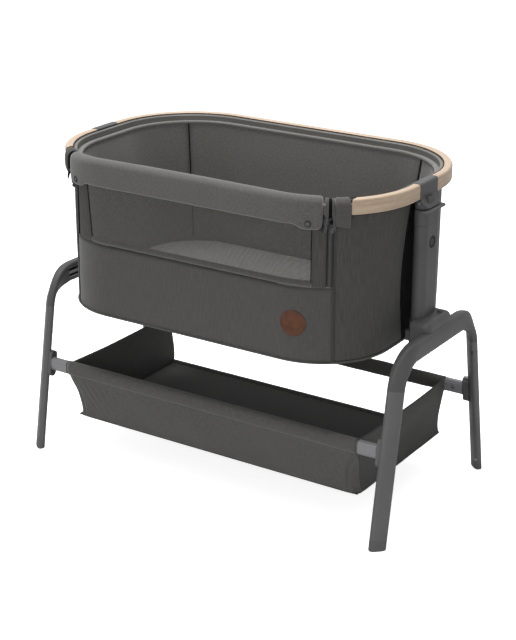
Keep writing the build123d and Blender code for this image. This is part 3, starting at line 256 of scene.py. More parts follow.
# Windows in the posts: a grey button in a near-black ring, which is painted shade of the groove round it.
LENS = new_material("acrylic_window_ring_shade", {"Roughness": 0.45, "IOR": 1.49, "Specular IOR Level": 0.12},
                    ringed(LENS_CENTRE, (0, 1, 1), [
                        (0.0068, "#3c3c3d"), (0.0125, "#0e0e0f"), (0.02, "#454546")]), grit(0.004, 0.00002))
# Bare fibreboard, brown and flat.
FIBREBOARD = new_material("fibreboard", {"Roughness": 0.85}, mottled("#6b5843", "#7d6950", 0.004),
                          grit(0.002, 0.00015))
# Woven zip tape, black with a faint rib.
BLACK_TAPE = new_material("nylon_zip_tape", {"Roughness": 0.75},
                          heather("#1b1b1c", "#2a2a2b", 0.001, 0.004), weave(0.0008, 0.0001))
# The zip's coil: black and finely broken up.
BLACK_NYLON = new_material("nylon_coil", {"Roughness": 0.6, "Specular IOR Level": 0.25},
                           mottled("#111112", "#1a1a1b", 0.003), grit(0.001, 0.00003))
# Enamelled sliders: black with a wet gleam.
ENAMEL = new_material("black_enamelled_zinc", {"Roughness": 0.28, "Coat Weight": 0.5},
                      mottled("#1c1c1d", "#262627", 0.01), grit(0.003, 0.00003))
# Cast zinc pull under a clear lacquer: mid grey with a soft shine.
ZINC = new_material("lacquered_zinc", {"Metallic": 1.0, "Roughness": 0.5},
                    mottled("#4a4a4b", "#585859", 0.01), grit(0.003, 0.00003))
# Press studs capped in the flap's own cloth, with a pressed ring enamelled black.
STUD_CAP = new_material("cloth_capped_stud", {"Roughness": 0.75},
                        ringed(STUD_CENTRE, (1, 0, 1), [(0.0042, "#4e4d4c"), (0.02, "#161616")]),
                        grit(0.0012, 0.00008))
# Frame tube round the cradle's mouth: a paler, warmer grey coat than the stand's.
RIM_TUBE = new_material("powder_coated_rim", {"Roughness": 0.5, "Specular IOR Level": 0.45},
                        mottled("#61605d", "#686663", 0.08), grit(0.002, 0.00008))
# Waxed thread round the patch, darker than the leather.
BROWN_THREAD = new_material("waxed_thread", {"Roughness": 0.5}, mottled("#3a261c", "#4c3325", 0.002),
                            grit(0.001, 0.00005))


def leather_grain(tree):
    """Pebbles drawn 2 mm across, coarse enough to show, over slower swells."""
    place = add(tree, "ShaderNodeTexCoord").outputs["Object"]
    cells = add(tree, "ShaderNodeTexVoronoi", {"Vector": place, "Scale": 1 / 0.0022}, feature="SMOOTH_F1")
    cloud = add(tree, "ShaderNodeTexNoise", {"Vector": place, "Scale": 1 / 0.006, "Detail": 5.0})
    both = add(tree, "ShaderNodeMix", {
        "Factor": 0.5, "A": cells.outputs["Distance"], "B": cloud.outputs["Fac"]})
    return both.outputs["Result"], 0.0004, 0.8


# Vegetable-tanned leather, waxed: warm brown with a fine pebbled grain and darker pores.
LEATHER = new_material("tanned_leather", {"Roughness": 0.6, "Specular IOR Level": 0.3},
                       mottled("#4c2b19", "#5c3622", 0.012, detail=6.0), leather_grain)


def along_rim(tree):
    """Coordinates that follow the bent wood: along it, across it and up."""
    place = add(tree, "ShaderNodeTexCoord").outputs["Object"]
    axes = add(tree, "ShaderNodeSeparateXYZ", {"Vector": place})
    over = []
    for axis, flat in (("X", RIM[0] - RIM[2]), ("Y", RIM[1] - RIM[2])):
        size = add(tree, "ShaderNodeMath", {0: axes.outputs[axis]}, operation="ABSOLUTE")
        past = add(tree, "ShaderNodeMath", {0: size.outputs[0], 1: flat}, operation="SUBTRACT")
        over.append(add(tree, "ShaderNodeMath", {0: past.outputs[0], 1: 0.0}, operation="MAXIMUM").outputs[0])
    corner = add(tree, "ShaderNodeCombineXYZ", {"X": over[0], "Y": over[1]})
    across = add(tree, "ShaderNodeVectorMath", {0: corner.outputs[0]}, operation="LENGTH")
    turn = add(tree, "ShaderNodeMath", {0: over[0], 1: over[1]}, operation="ARCTAN2")
    bent = add(tree, "ShaderNodeMath", {0: turn.outputs[0], 1: RIM[2]}, operation="MULTIPLY")
    flat_x = add(tree, "ShaderNodeMath", {0: axes.outputs["X"], 1: over[0]}, operation="SUBTRACT")
    along = add(tree, "ShaderNodeMath", {0: flat_x.outputs[0], 1: bent.outputs[0]}, operation="ADD")
    return add(tree, "ShaderNodeCombineXYZ", {
        "X": along.outputs[0], "Y": across.outputs["Value"], "Z": axes.outputs["Z"]}).outputs[0]


def beech_figure(tree, size, stretch, detail):
    """Cloud of a real size across the wood, drawn out along the bend."""
    mapped = add(tree, "ShaderNodeMapping", {"Vector": along_rim(tree), "Scale": (stretch, 1, 1)})
    cloud = add(tree, "ShaderNodeTexNoise", {
        "Vector": mapped.outputs[0], "Scale": 1 / size, "Detail": detail})
    return cloud.outputs["Fac"]


def beech_colour(tree):
    """Broad bands of growth with short flecks over them."""
    broad = beech_figure(tree, 0.005, 0.03, 3.0)
    flecks = beech_figure(tree, 0.0011, 0.08, 2.0)
    both = add(tree, "ShaderNodeMix", {"Factor": 0.4, "A": broad, "B": flecks})
    ramp = add(tree, "ShaderNodeMapRange", {
        "Value": both.outputs["Result"], "From Min": 0.38, "From Max": 0.62})
    mix = add(tree, "ShaderNodeMix", {
        "Factor": ramp.outputs["Result"], "A": linear("#a58f78"), "B": linear("#baa58f")}, data_type="RGBA")
    return mix.outputs["Result"]


def beech_relief(tree):
    """Open pores under the lacquer, drawn coarser than real ones."""
    return beech_figure(tree, 0.0012, 0.06, 2.0), 0.00015, 0.6


# Steam-bent beech, planed and matt lacquered: pale straw with short flecks along the bend.
BEECH = new_material("bent_beech", {"Roughness": 0.5, "Specular IOR Level": 0.4, "Coat Weight": 0.4,
                                    "Coat Roughness": 0.35}, beech_colour, beech_relief)


def mesh_cloth():
    """Warp-knitted polyester net: round holes 1.6 mm apart, drawn at 2.4 mm."""
    material = new_material("knitted_net", SOFT, heather("#454442", "#52514e", 0.0014, 0.01))
    tree = material.node_tree
    shader = next(n for n in tree.nodes if n.type == "BSDF_PRINCIPLED")
    place = add(tree, "ShaderNodeTexCoord").outputs["UV"]
    holes = add(tree, "ShaderNodeTexVoronoi", {"Vector": place, "Scale": 1 / 0.0024, "Randomness": 0.0})
    solid = add(tree, "ShaderNodeMapRange", {
        "Value": holes.outputs["Distance"],
        "From Min": 0.26, "From Max": 0.34, "To Min": 0.12, "To Max": 1.0})
    tree.links.new(solid.outputs["Result"], shader.inputs["Alpha"])
    return material


NET = mesh_cloth()


PLATE = 0.0155                 # depth of the bracket's plate against the leg


def socket_or_plate(tree):
    """Bright socket round the rail's end, grey coated plate beyond it."""
    place = add(tree, "ShaderNodeTexCoord").outputs["Object"]
    axes = add(tree, "ShaderNodeSeparateXYZ", {"Vector": place})
    size = add(tree, "ShaderNodeMath", {0: axes.outputs["X"]}, operation="ABSOLUTE")
    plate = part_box("rail_brackets")[1].x - PLATE
    past = add(tree, "ShaderNodeMapRange", {
        "Value": size.outputs[0], "From Min": plate - 0.0003, "From Max": plate + 0.0002})
    mix = add(tree, "ShaderNodeMix", {
        "Factor": past.outputs["Result"], "A": linear("#77777a"), "B": linear("#4c4c4d")}, data_type="RGBA")
    return mix.outputs["Result"]


# Die-cast brackets, polished where the rail goes in and coated where they meet the legs.
RAIL_BRACKET = new_material("die_cast_bracket", {"Roughness": 0.3, "Specular IOR Level": 0.7},
                            socket_or_plate, grit(0.002, 0.00004))

NODE_FINISH = {
    "grey_plastic": NYLON, "grey_tube": COATED_TUBE, "pin_plastic": PIN_PLASTIC, "foot_rubber": RUBBER,
    "rail_aluminium": ANODISED, "steel": STEEL, "smoked_lens": LENS, "pale_wood": BEECH,
    "fibreboard": FIBREBOARD, "black_zip": BLACK_TAPE, "black_metal": ENAMEL, "leather": LEATHER,
    "shell_cloth": SHELL_CLOTH, "liner_cloth": LINER_CLOTH, "mesh_cloth": NET, "flap_cloth": PADDED_CLOTH,
    "basket_cloth": CANVAS, "pad_cloth": PAD_COTTON,
}
for row in frame["record"]["subparts"]:
    part = frame["nodes"][row["node"]]
    part.data.materials.clear()
    part.data.materials.append(NODE_FINISH[row["material_slot"]])
for names, finish in (
    (("rim_frame", "drop_rail"), RIM_TUBE), (("rail_brackets",), RAIL_BRACKET), (("press_studs",), STUD_CAP),
    (("zip_pull_right", "zip_pull_left"), ZINC),
):
    for name in names:
        frame["nodes"][name].data.materials[0] = finish


# ---------------------------------------------------------- plans and surfaces
def between(low, high, share):
    """Plan part of the way from low to high."""
    return [a + (b - a) * share for a, b in zip(low, high)]


def shell_size(z):
    """Plan of the shell at a height."""
    return between(SHELL_LOW, SHELL_HIGH, (z - SHELL_LOW_Z) / (RIM_LOW_Z - SHELL_LOW_Z))


def liner_size(z):
    """Plan of the lining's outer face at a height."""
    low = [v - CLOTH_STACK for v in shell_size(LINER_LOW_Z)]
    return between(low, LINER_HIGH, (z - LINER_LOW_Z) / (LINER_TOP_Z - LINER_LOW_Z))


def on_plan(size, t):
    """Point and outward normal on a rounded rectangle.

    t runs from 0 at the front's middle round by the right end to 10; a corner or half a side takes 1,
    an end takes 1 as well.
    """
    t %= 10
    side = 1
    if t > 5:
        t, side = 10 - t, -1
    length, width, radius = size
    flat_x, flat_y = length - radius, width - radius
    if t <= 1:
        point, normal = (flat_x * t, -width), (0, -1)
    elif t <= 2:
        normal = (sin(pi / 2 * (t - 1)), -cos(pi / 2 * (t - 1)))
        point = (flat_x + radius * normal[0], -flat_y + radius * normal[1])
    elif t <= 3:
        point, normal = (length, flat_y * (2 * t - 5)), (1, 0)
    elif t <= 4:
        normal = (cos(pi / 2 * (t - 3)), sin(pi / 2 * (t - 3)))
        point = (flat_x + radius * normal[0], flat_y + radius * normal[1])
    else:
        point, normal = (flat_x * (5 - t), width), (0, 1)
    return Vector((side * point[0], point[1])), Vector((side * normal[0], normal[1]))


def at_x(size, x, back=False):
    """The t at which the front, or the back, reaches x."""
    length, _, radius = size
    flat = length - radius
    past = abs(x) - flat
    t = abs(x) / flat if past <= 0 else 1 + degrees(asin(past / radius)) / 90
    t = 5 - t if back else t
    return t if x >= 0 else 10 - t


def at_y(size, y, left=False):
    """The t at which the right end, or the left end, reaches y on its straight part."""
    t = 2.5 + y / (size[1] - size[2]) / 2
    return 10 - t if left else t


def wall(size_at):
    """Place function of an upright wall: t, z and a distance outwards give a point."""
    def place(t, z, out=0.0):
        point, normal = on_plan(size_at(z), t)
        return Vector((*(point + normal * out), z))
    return place


on_shell = wall(shell_size)
on_liner = wall(liner_size)
on_rim = wall(lambda z: RIM)


def ease(share):
    """Smooth step from 0 to 1."""
    share = min(1.0, max(0.0, share))
    return share * share * (3 - 2 * share)


def ripple(point, size, height, seed=0.0):
    """Smooth wander of a cloth surface."""
    return height * noise.noise(Vector(point) / size + Vector((seed, 2 * seed, 3 * seed)))


# ---------------------------------------------------------------- mesh helpers
def grid_mesh(name, points, loop=False):
    """Mesh of rows of points, with a UV map in metres along its rows and columns."""
    points = np.array([[tuple(p) for p in row] for row in points])
    rows, columns = points.shape[:2]
    across = np.linalg.norm(np.diff(points[rows // 2], axis=0), axis=1)
    up = np.linalg.norm(np.diff(points[:, columns // 2], axis=0), axis=1)
    u = np.concatenate([[0], np.cumsum(across)])
    v = np.concatenate([[0], np.cumsum(up)])
    faces, uvs = [], []
    last = columns if loop else columns - 1
    close = np.linalg.norm(points[rows // 2, -1] - points[rows // 2, 0])
    for i in range(rows - 1):
        for j in range(last):
            k = (j + 1) % columns
            faces.append((i * columns + j, i * columns + k, (i + 1) * columns + k, (i + 1) * columns + j))
            right = u[j] + close if k == 0 else u[k]
            uvs += [(u[j], v[i]), (right, v[i]), (right, v[i + 1]), (u[j], v[i + 1])]
    mesh = bpy.data.meshes.new(name)
    mesh.from_pydata([tuple(p) for p in points.reshape(-1, 3)], [], faces)
    mesh.uv_layers.new(name="UVMap").data.foreach_set("uv", np.array(uvs).ravel())
    mesh.shade_smooth()
    piece = bpy.data.objects.new(name, mesh)
    scene.collection.objects.link(piece)
    return piece


def dress(piece, body, material, stands_for=(), thickness=None, smooth=0):
    """Give a piece its material, thickness, body and the CAD nodes it stands for."""
    piece.data.materials.clear()
    piece.data.materials.append(material)
    if thickness:
        shell = piece.modifiers.new("thickness", "SOLIDIFY")
        shell.thickness = thickness
        shell.offset = -1.0
    if smooth:
        finer = piece.modifiers.new("smooth", "SUBSURF")
        finer.levels = finer.render_levels = smooth
    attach(piece, body)
    if stands_for:
        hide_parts(*stands_for)
    return piece


def welt(name, path, radius, body, slot, material, **shape):
    """Thin rope along a path: a welt, a seam, a painted shadow line or piping."""
    dress(tube_mesh(name, path, radius, **shape), body, material)


def flat_size(points):
    """Width and height of a cloth panel along its surface."""
    points = np.array([[tuple(p) for p in row] for row in points])
    width = np.linalg.norm(np.diff(points, axis=1), axis=2).sum(1).mean()
    height = np.linalg.norm(np.diff(points, axis=0), axis=2).sum(0).mean()
    return float(width), float(height)


def cloth_panel(name, points, body, material, stands_for=(), thickness=None):
    """Cloth sheet on rows of points."""
    piece = dress(grid_mesh(name, points), body, material, stands_for, thickness)
    flat_size(points)


def panel_points(place, start, end, low, high, cell=0.008, tuck=0.0012, soft=0.007, sides="lrbt",
                 wave=0.0007, wave_size=0.07, seed=0.0, swell=0.0):
    """Rows of points of a cloth panel.

    start and end give t at each height, low and high give the height at each share across.
    The panel dips by tuck at the sewn sides and swells between them.
    """
    low = low if callable(low) else (lambda share, z=low: z)
    high = high if callable(high) else (lambda share, z=high: z)
    z0, z1 = low(0.5), high(0.5)
    middle = (z0 + z1) / 2
    steps = np.linspace(start(middle), end(middle), 60)
    track = [place(t, middle) for t in steps]
    width = sum((b - a).length for a, b in zip(track, track[1:]))
    columns, rows = max(4, round(width / cell)), max(3, round((z1 - z0) / cell))
    points = []
    for i in range(rows + 1):
        line = []
        for j in range(columns + 1):
            f, g = j / columns, i / rows
            z = low(f) + (high(f) - low(f)) * g
            t = start(z) + (end(z) - start(z)) * f
            gaps = {"l": f * width, "r": (1 - f) * width, "b": g * (z1 - z0), "t": (1 - g) * (z1 - z0)}
            near = min([gaps[s] for s in sides] + [soft])
            out = -tuck * (1 - ease(near / soft)) + swell * sin(pi * f) ** 0.7 * sin(pi * g) ** 0.7
            spot = place(t, z)
            out += ripple(spot, wave_size, wave, seed) * ease(near / soft)
            line.append(place(t, z, out))
        points.append(line)
    return points


def tube_mesh(name, path, radius, loop=False, sides=8, flat=1.0):
    """Round or flattened rope along a path, upright sections."""
    points = [Vector(p) for p in path]
    count = len(points)
    rows = []
    for i, point in enumerate(points):
        ahead = points[(i + 1) % count] if loop or i < count - 1 else point
        behind = points[i - 1] if loop or i > 0 else point
        along = (ahead - behind).normalized()
        up = Vector((0, 0, 1)) if abs(along.z) < 0.9 else Vector((0, 1, 0))
        side = along.cross(up).normalized()
        rise = side.cross(along)
        rows.append([point + side * radius * flat * cos(turn) + rise * radius * sin(turn)
                     for turn in (2 * pi * k / sides for k in range(sides))])
    if loop:
        rows.append(rows[0])
    return closed(grid_mesh(name, rows, loop=True))


def closed(piece):
    """Close a form's open ends and poles, and turn its faces outwards."""
    form = bmesh.new()
    form.from_mesh(piece.data)
    bmesh.ops.remove_doubles(form, verts=form.verts, dist=1e-6)
    bmesh.ops.holes_fill(form, edges=[e for e in form.edges if e.is_boundary])
    bmesh.ops.recalc_face_normals(form, faces=form.faces)
    form.to_mesh(piece.data)
    form.free()
    piece.data.shade_smooth()
    return piece


def stitch_tree():
    """Small rounded bars at an even pitch along a line: stitches, or the teeth of a zip."""
    tree = bpy.data.node_groups.new("bars_along_line", "GeometryNodeTree")
    face = tree.interface
    face.new_socket("Line", in_out="INPUT", socket_type="NodeSocketGeometry")
    for label in ("Pitch", "Length", "Thickness", "Across"):
        face.new_socket(label, in_out="INPUT", socket_type="NodeSocketFloat")
    face.new_socket("Direction", in_out="INPUT", socket_type="NodeSocketVector")
    face.new_socket("Finish", in_out="INPUT", socket_type="NodeSocketMaterial")
    face.new_socket("Bars", in_out="OUTPUT", socket_type="NodeSocketGeometry")
    given = add(tree, "NodeGroupInput").outputs
    curve = add(tree, "GeometryNodeMeshToCurve", {"Mesh": given["Line"]})
    marks = add(tree, "GeometryNodeResampleCurve", {
        "Curve": curve.outputs["Curve"], "Length": given["Pitch"]}, mode="LENGTH")
    tangent = add(tree, "GeometryNodeInputTangent")
    lie = add(tree, "ShaderNodeMix", {
        "Factor": given["Across"], "A": tangent.outputs[0], "B": given["Direction"]}, data_type="VECTOR")
    turn = add(tree, "FunctionNodeAlignRotationToVector", {"Vector": lie.outputs["Result"]}, axis="X")
    size = add(tree, "ShaderNodeCombineXYZ", {
        "X": given["Length"], "Y": given["Thickness"], "Z": given["Thickness"]})
    bar = add(tree, "GeometryNodeMeshUVSphere", {"Segments": 6, "Rings": 4, "Radius": 0.5})
    rows = add(tree, "GeometryNodeInstanceOnPoints", {
        "Points": marks.outputs["Curve"], "Instance": bar.outputs["Mesh"],
        "Rotation": turn.outputs["Rotation"], "Scale": size.outputs[0]})
    real = add(tree, "GeometryNodeRealizeInstances", {"Geometry": rows.outputs["Instances"]})
    done = add(tree, "GeometryNodeSetMaterial", {
        "Geometry": real.outputs["Geometry"], "Material": given["Finish"]})
    add(tree, "NodeGroupOutput", {"Bars": done.outputs["Geometry"]})
    return tree


BARS = stitch_tree()


def row_of_bars(name, path, body, material, pitch, length, thickness, across=None, loop=False):
    """Stitches or teeth along a path, turned into one plain mesh."""
    points = [tuple(p) for p in path]
    ties = [(i, i + 1) for i in range(len(points) - 1)] + ([(len(points) - 1, 0)] if loop else [])
    line = bpy.data.meshes.new(name)
    line.from_pydata(points, ties, [])
    piece = bpy.data.objects.new(name, line)
    scene.collection.objects.link(piece)
    rows = piece.modifiers.new("bars", "NODES")
    rows.node_group = BARS
    sockets = {s.name: s.identifier for s in BARS.interface.items_tree if s.in_out == "INPUT"}
    for label, value in (("Pitch", pitch), ("Length", length), ("Thickness", thickness),
                         ("Across", 1.0 if across else 0.0), ("Direction", across or (1.0, 0.0, 0.0)),
                         ("Finish", material)):
        rows[sockets[label]] = value
    ready = piece.evaluated_get(bpy.context.evaluated_depsgraph_get())
    made = bpy.data.meshes.new_from_object(ready)
    piece.modifiers.clear()
    piece.data = made
    made.shade_smooth()
    dress(piece, body, material)


# --------------------------------------------------------------- cradle: shell
def seam_x(z):
    """Side seam of the shell, a little further out at the bottom."""
    return 0.3195 + 0.0045 * (RIM_LOW_Z - z) / (RIM_LOW_Z - SHELL_LOW_Z)


def pocket_half(z):
    """Half-width of the near-black panel behind the post, painted shade where the cloth runs behind it."""
    return 0.022 + 0.024 * sin(pi * (z - SHELL_LOW_Z) / (RIM_LOW_Z - SHELL_LOW_Z))


def front_seam(z):
    """The t of the shell's right side seam."""
    return at_x(shell_size(z), seam_x(z))


def pocket_edge(z, back=False, left=False):
    """The t of the front or back edge of an end's near-black panel of painted shade."""
    y = pocket_half(z) * (1 if back else -1)
    return at_y(shell_size(z), y, left)


SHELL_BOTTOM_Z = SHELL_LOW_Z + 0.002


def shell_panel(name, points, cloth):
    """Panel of the shell, stretched between the base board and the rim's tube."""
    cloth_panel(name, points, "cradle", cloth,
                ["shell_fabric"], CLOTH)


points = panel_points(on_shell, lambda z: -front_seam(z), front_seam, SHELL_BOTTOM_Z, SILL_Z - 0.002,
                      seed=1.0, swell=0.0008)
shell_panel("shell_front", points, SHELL_CLOTH)

for left in (False, True):
    name = "left" if left else "right"
    seam = (lambda z: 10 - front_seam(z)) if left else front_seam
    corner = [seam, lambda z, s=left: pocket_edge(z, left=s)]
    if left:
        corner.reverse()
    points = panel_points(on_shell, *corner, SHELL_BOTTOM_Z, SHELL_TOP_Z, seed=2.0 + left, swell=0.001)
    # The corners take the darker cloth: painted shade.
    shell_panel(f"shell_corner_{name}", points, SHADED_CLOTH)
    # Near-black panel at each end behind the post: painted shade.
    pocket = [lambda z, s=left: pocket_edge(z, left=s), lambda z, s=left: pocket_edge(z, True, s)]
    if left:
        pocket.reverse()
    points = panel_points(on_shell, *pocket, SHELL_BOTTOM_Z, SHELL_TOP_Z, tuck=-0.0006, seed=4.0,
                          swell=-0.002, soft=0.012)
    shell_panel(f"shell_pocket_{name}", points, SHADOW_CLOTH)

points = panel_points(on_shell, lambda z: pocket_edge(z, True), lambda z: pocket_edge(z, True, True),
                      SHELL_BOTTOM_Z, SHELL_TOP_Z, seed=5.0, swell=0.0008)
shell_panel("shell_back", points, SHELL_CLOTH)


def plan_loop(place, z, out):
    """Points all round a wall at a height."""
    count = 280
    return [place(10 * i / count, z, out) for i in range(count)]


welt("shell_piping", plan_loop(on_shell, SHELL_BOTTOM_Z, 0.0006), 0.0022,
     "cradle", "shell_cloth", SHELL_CLOTH, loop=True)

rings = []
for share in np.linspace(1.0, 0.004, 24):
    row = []
    for p in plan_loop(on_shell, SHELL_BOTTOM_Z, -0.001):
        row.append(Vector((p.x * share, p.y * share, SHELL_BOTTOM_Z - 0.001 + 0.0015 * (1 - share))))
    rings.append(row)
piece = grid_mesh("shell_bottom", rings[::-1], loop=True)
# The bottom takes the darker cloth: painted shade.
dress(piece, "cradle", SHADED_CLOTH, ["shell_fabric"], 0.0012)

# ---------------------------------------------------------------- cradle: lining
LINING = 0.0045                # thickness of the quilted lining


def seam_right_x(z):
    """The lining's right seam leans in towards the bottom."""
    return 0.294 - 0.012 * (LINER_TOP_Z - z) / 0.055 if z > 0.64 else 0.2805 - 0.004 * (0.64 - z) / 0.25


def liner_seam(z):
    return at_x(liner_size(z), seam_right_x(z), back=True)


def liner_seam_left(z):
    return at_x(liner_size(z), -0.315, back=True)


def liner_end(z):
    """The t at which the lining meets the right side of the opening."""
    return at_x(liner_size(z), OPENING + 0.001)


def inward(place):
    """Place function of a wall's inner face, whose cloth swells inwards."""
    return lambda t, z, out=0.0: place(t, z, -out - LINING)


for name, start, end, low, high, seed in (
    ("front", liner_end, lambda z: -liner_end(z), LINER_LOW_Z, SILL_Z - 0.002, 11.0),
    ("end_right", liner_seam, liner_end, LINER_LOW_Z, LINER_TOP_Z, 12.0),
    ("back", liner_seam_left, liner_seam, LINER_LOW_Z, LINER_TOP_Z, 13.0),
    ("end_left", lambda z: 10 - liner_end(z), liner_seam_left, LINER_LOW_Z, LINER_TOP_Z, 14.0),
):
    points = panel_points(inward(on_liner), start, end, low, high, tuck=0.003, soft=0.016, sides="lrt",
                          wave=0.0012, wave_size=0.08, seed=seed, swell=0.0015)
    piece = grid_mesh(f"lining_{name}", points)
    dress(piece, "cradle", LINER_CLOTH, ["liner_fabric"], LINING)

# Dark lines down the lining's seams: painted shade in the seams.
for name, seam in (("right", liner_seam), ("left", liner_seam_left)):
    heights = np.linspace(LINER_LOW_Z + 0.03, LINER_TOP_Z - 0.002, 40)
    path = [on_liner(seam(z), z, -LINING - 0.0012) for z in heights]
    welt(f"lining_seam_{name}", path, 0.0013, "cradle", "liner_cloth", SHADOW_CLOTH)

around = [on_liner(t, LINER_TOP_Z - 0.0030, -LINING / 2 - 0.0012) for t in
          np.linspace(liner_end(LINER_TOP_Z) + 0.02, 10 - liner_end(LINER_TOP_Z) - 0.02, 200)]
welt("lining_binding", around, 0.0040, "cradle", "liner_cloth", LINER_CLOTH, flat=1.05, sides=12)

# Dark line along the wood's inner edge: painted shadow in the seam between the wood and the rim's tube.
trim_end = at_x(RIM, 0.3546)
shadow_points = [on_rim(t, RIM_TOP_Z - 0.0022, -0.0182) for t in np.linspace(trim_end, 10 - trim_end, 260)]
welt("rim_shadow_line", shadow_points, 0.0011, "cradle", "grey_plastic", SEAM_SHADOW)

# -------------------------------------------------------------------- drop side
PANEL_TOP_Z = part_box("drop_panel")[1].z
PANEL_HALF = OPENING - 0.0008
WINDOW_RIGHT = 0.284
WELT_INSET = 0.0008            # the welts cover the bands' inner edges


def shell_x(x):
    """The t at each height where the shell reaches x, below 0 on the left."""
    def reach(z):
        spot = x(z) if callable(x) else x
        return at_x(shell_size(z), spot) - (10 if spot < 0 else 0)
    return reach


def window_left(z):
    """The window's left edge leans out upwards."""
    return -0.257 - 0.012 * (z - 0.548) / 0.12


def in_from_left(distance):
    """Line beside the window's left edge."""
    return lambda z: window_left(z) + distance


def net_place(t, z, out=0.0):
    """The net lies a little behind the bands round the window."""
    return on_shell(t, z, out - 0.0012)


points = panel_points(net_place, shell_x(in_from_left(-0.004)), shell_x(WINDOW_RIGHT + 0.003),
                      SILL_Z + 0.004, PANEL_TOP_Z, tuck=0.0, wave=0.0012, wave_size=0.12, seed=21.0)
cloth_panel("window_net", points, "drop_side", NET,
            ["drop_panel"])

for name, start, end in (
    ("left", -PANEL_HALF, window_left), ("right", WINDOW_RIGHT, PANEL_HALF),
):
    points = panel_points(on_shell, shell_x(start), shell_x(end), SILL_Z, PANEL_TOP_Z, cell=0.005,
                          tuck=0.0016, soft=0.005, sides="lr", wave=0.0006, seed=22.0)
    # The bands take the darker cloth: painted shade.
    cloth_panel(f"window_band_{name}", points, "drop_side", SHADED_CLOTH,
                ["drop_panel"], 0.003)
    edge = shell_x(in_from_left(WELT_INSET) if name == "left" else WINDOW_RIGHT - WELT_INSET)
    heights = np.linspace(SILL_Z + 0.012, PANEL_TOP_Z - 0.02, 40)
    path = [on_shell(edge(z) % 10, z, -0.0006) for z in heights]
    # Dark lines at the window's edges: painted shade in the seams.
    welt(f"window_welt_{name}", path, 0.0008, "drop_side", "mesh_cloth", SHADOW_CLOTH)

hem = panel_points(lambda t, z, out=0.0: on_shell(t, z, out + 0.0022),
                   shell_x(in_from_left(0.001)), shell_x(WINDOW_RIGHT - WELT_INSET), SILL_Z, SILL_Z + 0.0135,
                   cell=0.0022, tuck=0.0040, soft=0.006, sides="bt", wave=0.0005, wave_size=0.05, seed=23.0)
cloth_panel("sill_hem", hem, "drop_side", SHELL_CLOTH,
            ["drop_panel"], 0.003)


# --------------------------------------------------------- flap and rim sleeves
def wrap_section(outer, inner, top, outer_low, inner_low, leaf, back_leaf, bulge=0.001):
    """Closed section of cloth folded over the rim, as (out, z) from the outer hem."""
    steps = 10
    middle, half = (outer + inner) / 2, (outer - inner) / 2
    spring = top - half * 0.95
    section = [(outer + bulge * sin(pi * k / steps), outer_low + (spring - outer_low) * k / steps)
               for k in range(steps)]
    section += [(middle + half * cos(pi * k / steps), spring + (top - spring) * sin(pi * k / steps))
                for k in range(steps)]
    section += [(inner, spring - (spring - inner_low) * k / 4) for k in range(5)]
    section += [(inner + back_leaf / 2, inner_low - back_leaf / 3)]
    section += [(inner + back_leaf, inner_low + (spring - inner_low) * k / 4) for k in range(5)]
    section += [(outer - leaf, spring - (spring - outer_low) * k / steps) for k in range(steps + 1)]
    section += [(outer - leaf / 2, outer_low - leaf / 3)]
    return section


def swept_wrap(name, section_at, x0, x1, cell, seed, wave):
    """Closed wrap along the rim's front from x0 to x1, drawn in at both ends."""
    count = max(3, round(abs(x1 - x0) / cell))
    rows = []
    for i in range(count + 1):
        x = x0 + (x1 - x0) * i / count
        section = section_at(x)
        near = min(abs(x - x0), abs(x1 - x))
        tuck = 0.0014 * (1 - ease(near / 0.005))
        centre_out = sum(s[0] for s in section) / len(section)
        row = []
        for out, z in section:
            spot = on_rim(at_x(RIM, x), z, out)
            depth = ripple(spot, 0.05, wave, seed) + ripple(spot, 0.016, wave * 0.4, seed + 5)
            outwards = 1 if out > centre_out else -1
            row.append(on_rim(at_x(RIM, x), z, out + outwards * (depth - tuck)))
        rows.append(row)
    return closed(grid_mesh(name, rows, loop=True))


FLAP_LOW_Z, FLAP_TAB_Z, FLAP_TOP_Z = 0.666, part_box("drop_flap")[0].z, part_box("drop_flap")[1].z
FLAP_HALF = OPENING - 0.0012
TAB = 0.046
FLAP_CORNER = 0.010            # radius of the leaf's lower corners
FLAP_CROWN = 0.003             # the crest's rise at its middle
WRAP_INNER_LOW = 0.690         # inner hem of all that is folded over the rim


def flap_section(x):
    """The leaf hangs lower at its studded ends and the crest is fuller in the middle."""
    end = FLAP_HALF - abs(x)
    drop = (FLAP_LOW_Z - FLAP_TAB_Z) * ease((TAB + 0.008 - end) / 0.016)
    corner = FLAP_CORNER * (1 - sqrt(max(0.0, 1 - (1 - min(1.0, end / FLAP_CORNER)) ** 2)))
    crest = FLAP_TOP_Z + FLAP_CROWN * (1 - (x / FLAP_HALF) ** 2)
    hem_z = FLAP_LOW_Z - drop + corner + 0.003
    return wrap_section(0.006, -0.024, crest, hem_z, WRAP_INNER_LOW, leaf=0.0085, back_leaf=0.006)


piece = swept_wrap("flap_cover", flap_section, -FLAP_HALF, FLAP_HALF, cell=0.006, seed=31.0, wave=0.0009)
dress(piece, "drop_side", PADDED_CLOTH, ["drop_flap"], smooth=1)

SLEEVE_START, SLEEVE_END = 0.3292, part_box("corner_sleeves")[1].x
STRIP_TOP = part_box("corner_sleeves")[1].z - 0.0008


def sleeve_section(x):
    """The right sleeve's hem drops and flares a little at its outer end; the left one is cut higher."""
    share = (abs(x) - SLEEVE_START) / (SLEEVE_END - SLEEVE_START)
    if x < 0:
        outer, top, hem_z = 0.0030, STRIP_TOP, 0.6720 + 0.010 * share
    else:
        outer, top, hem_z = 0.0034 + 0.0008 * share, STRIP_TOP + 0.0004, 0.6665 - 0.004 * share
    return wrap_section(outer, -0.0275, top, hem_z, WRAP_INNER_LOW, leaf=0.003, back_leaf=0.003,
                        bulge=0.0008)


def strip_section(low, proud):
    """Narrow strip of cloth folded over the rim's tube beside the opening."""
    top = STRIP_TOP - 0.0035 + proud
    return lambda x: wrap_section(proud, -0.0272, top, low, WRAP_INNER_LOW, leaf=0.0024, back_leaf=0.003,
                                  bulge=0.0002)


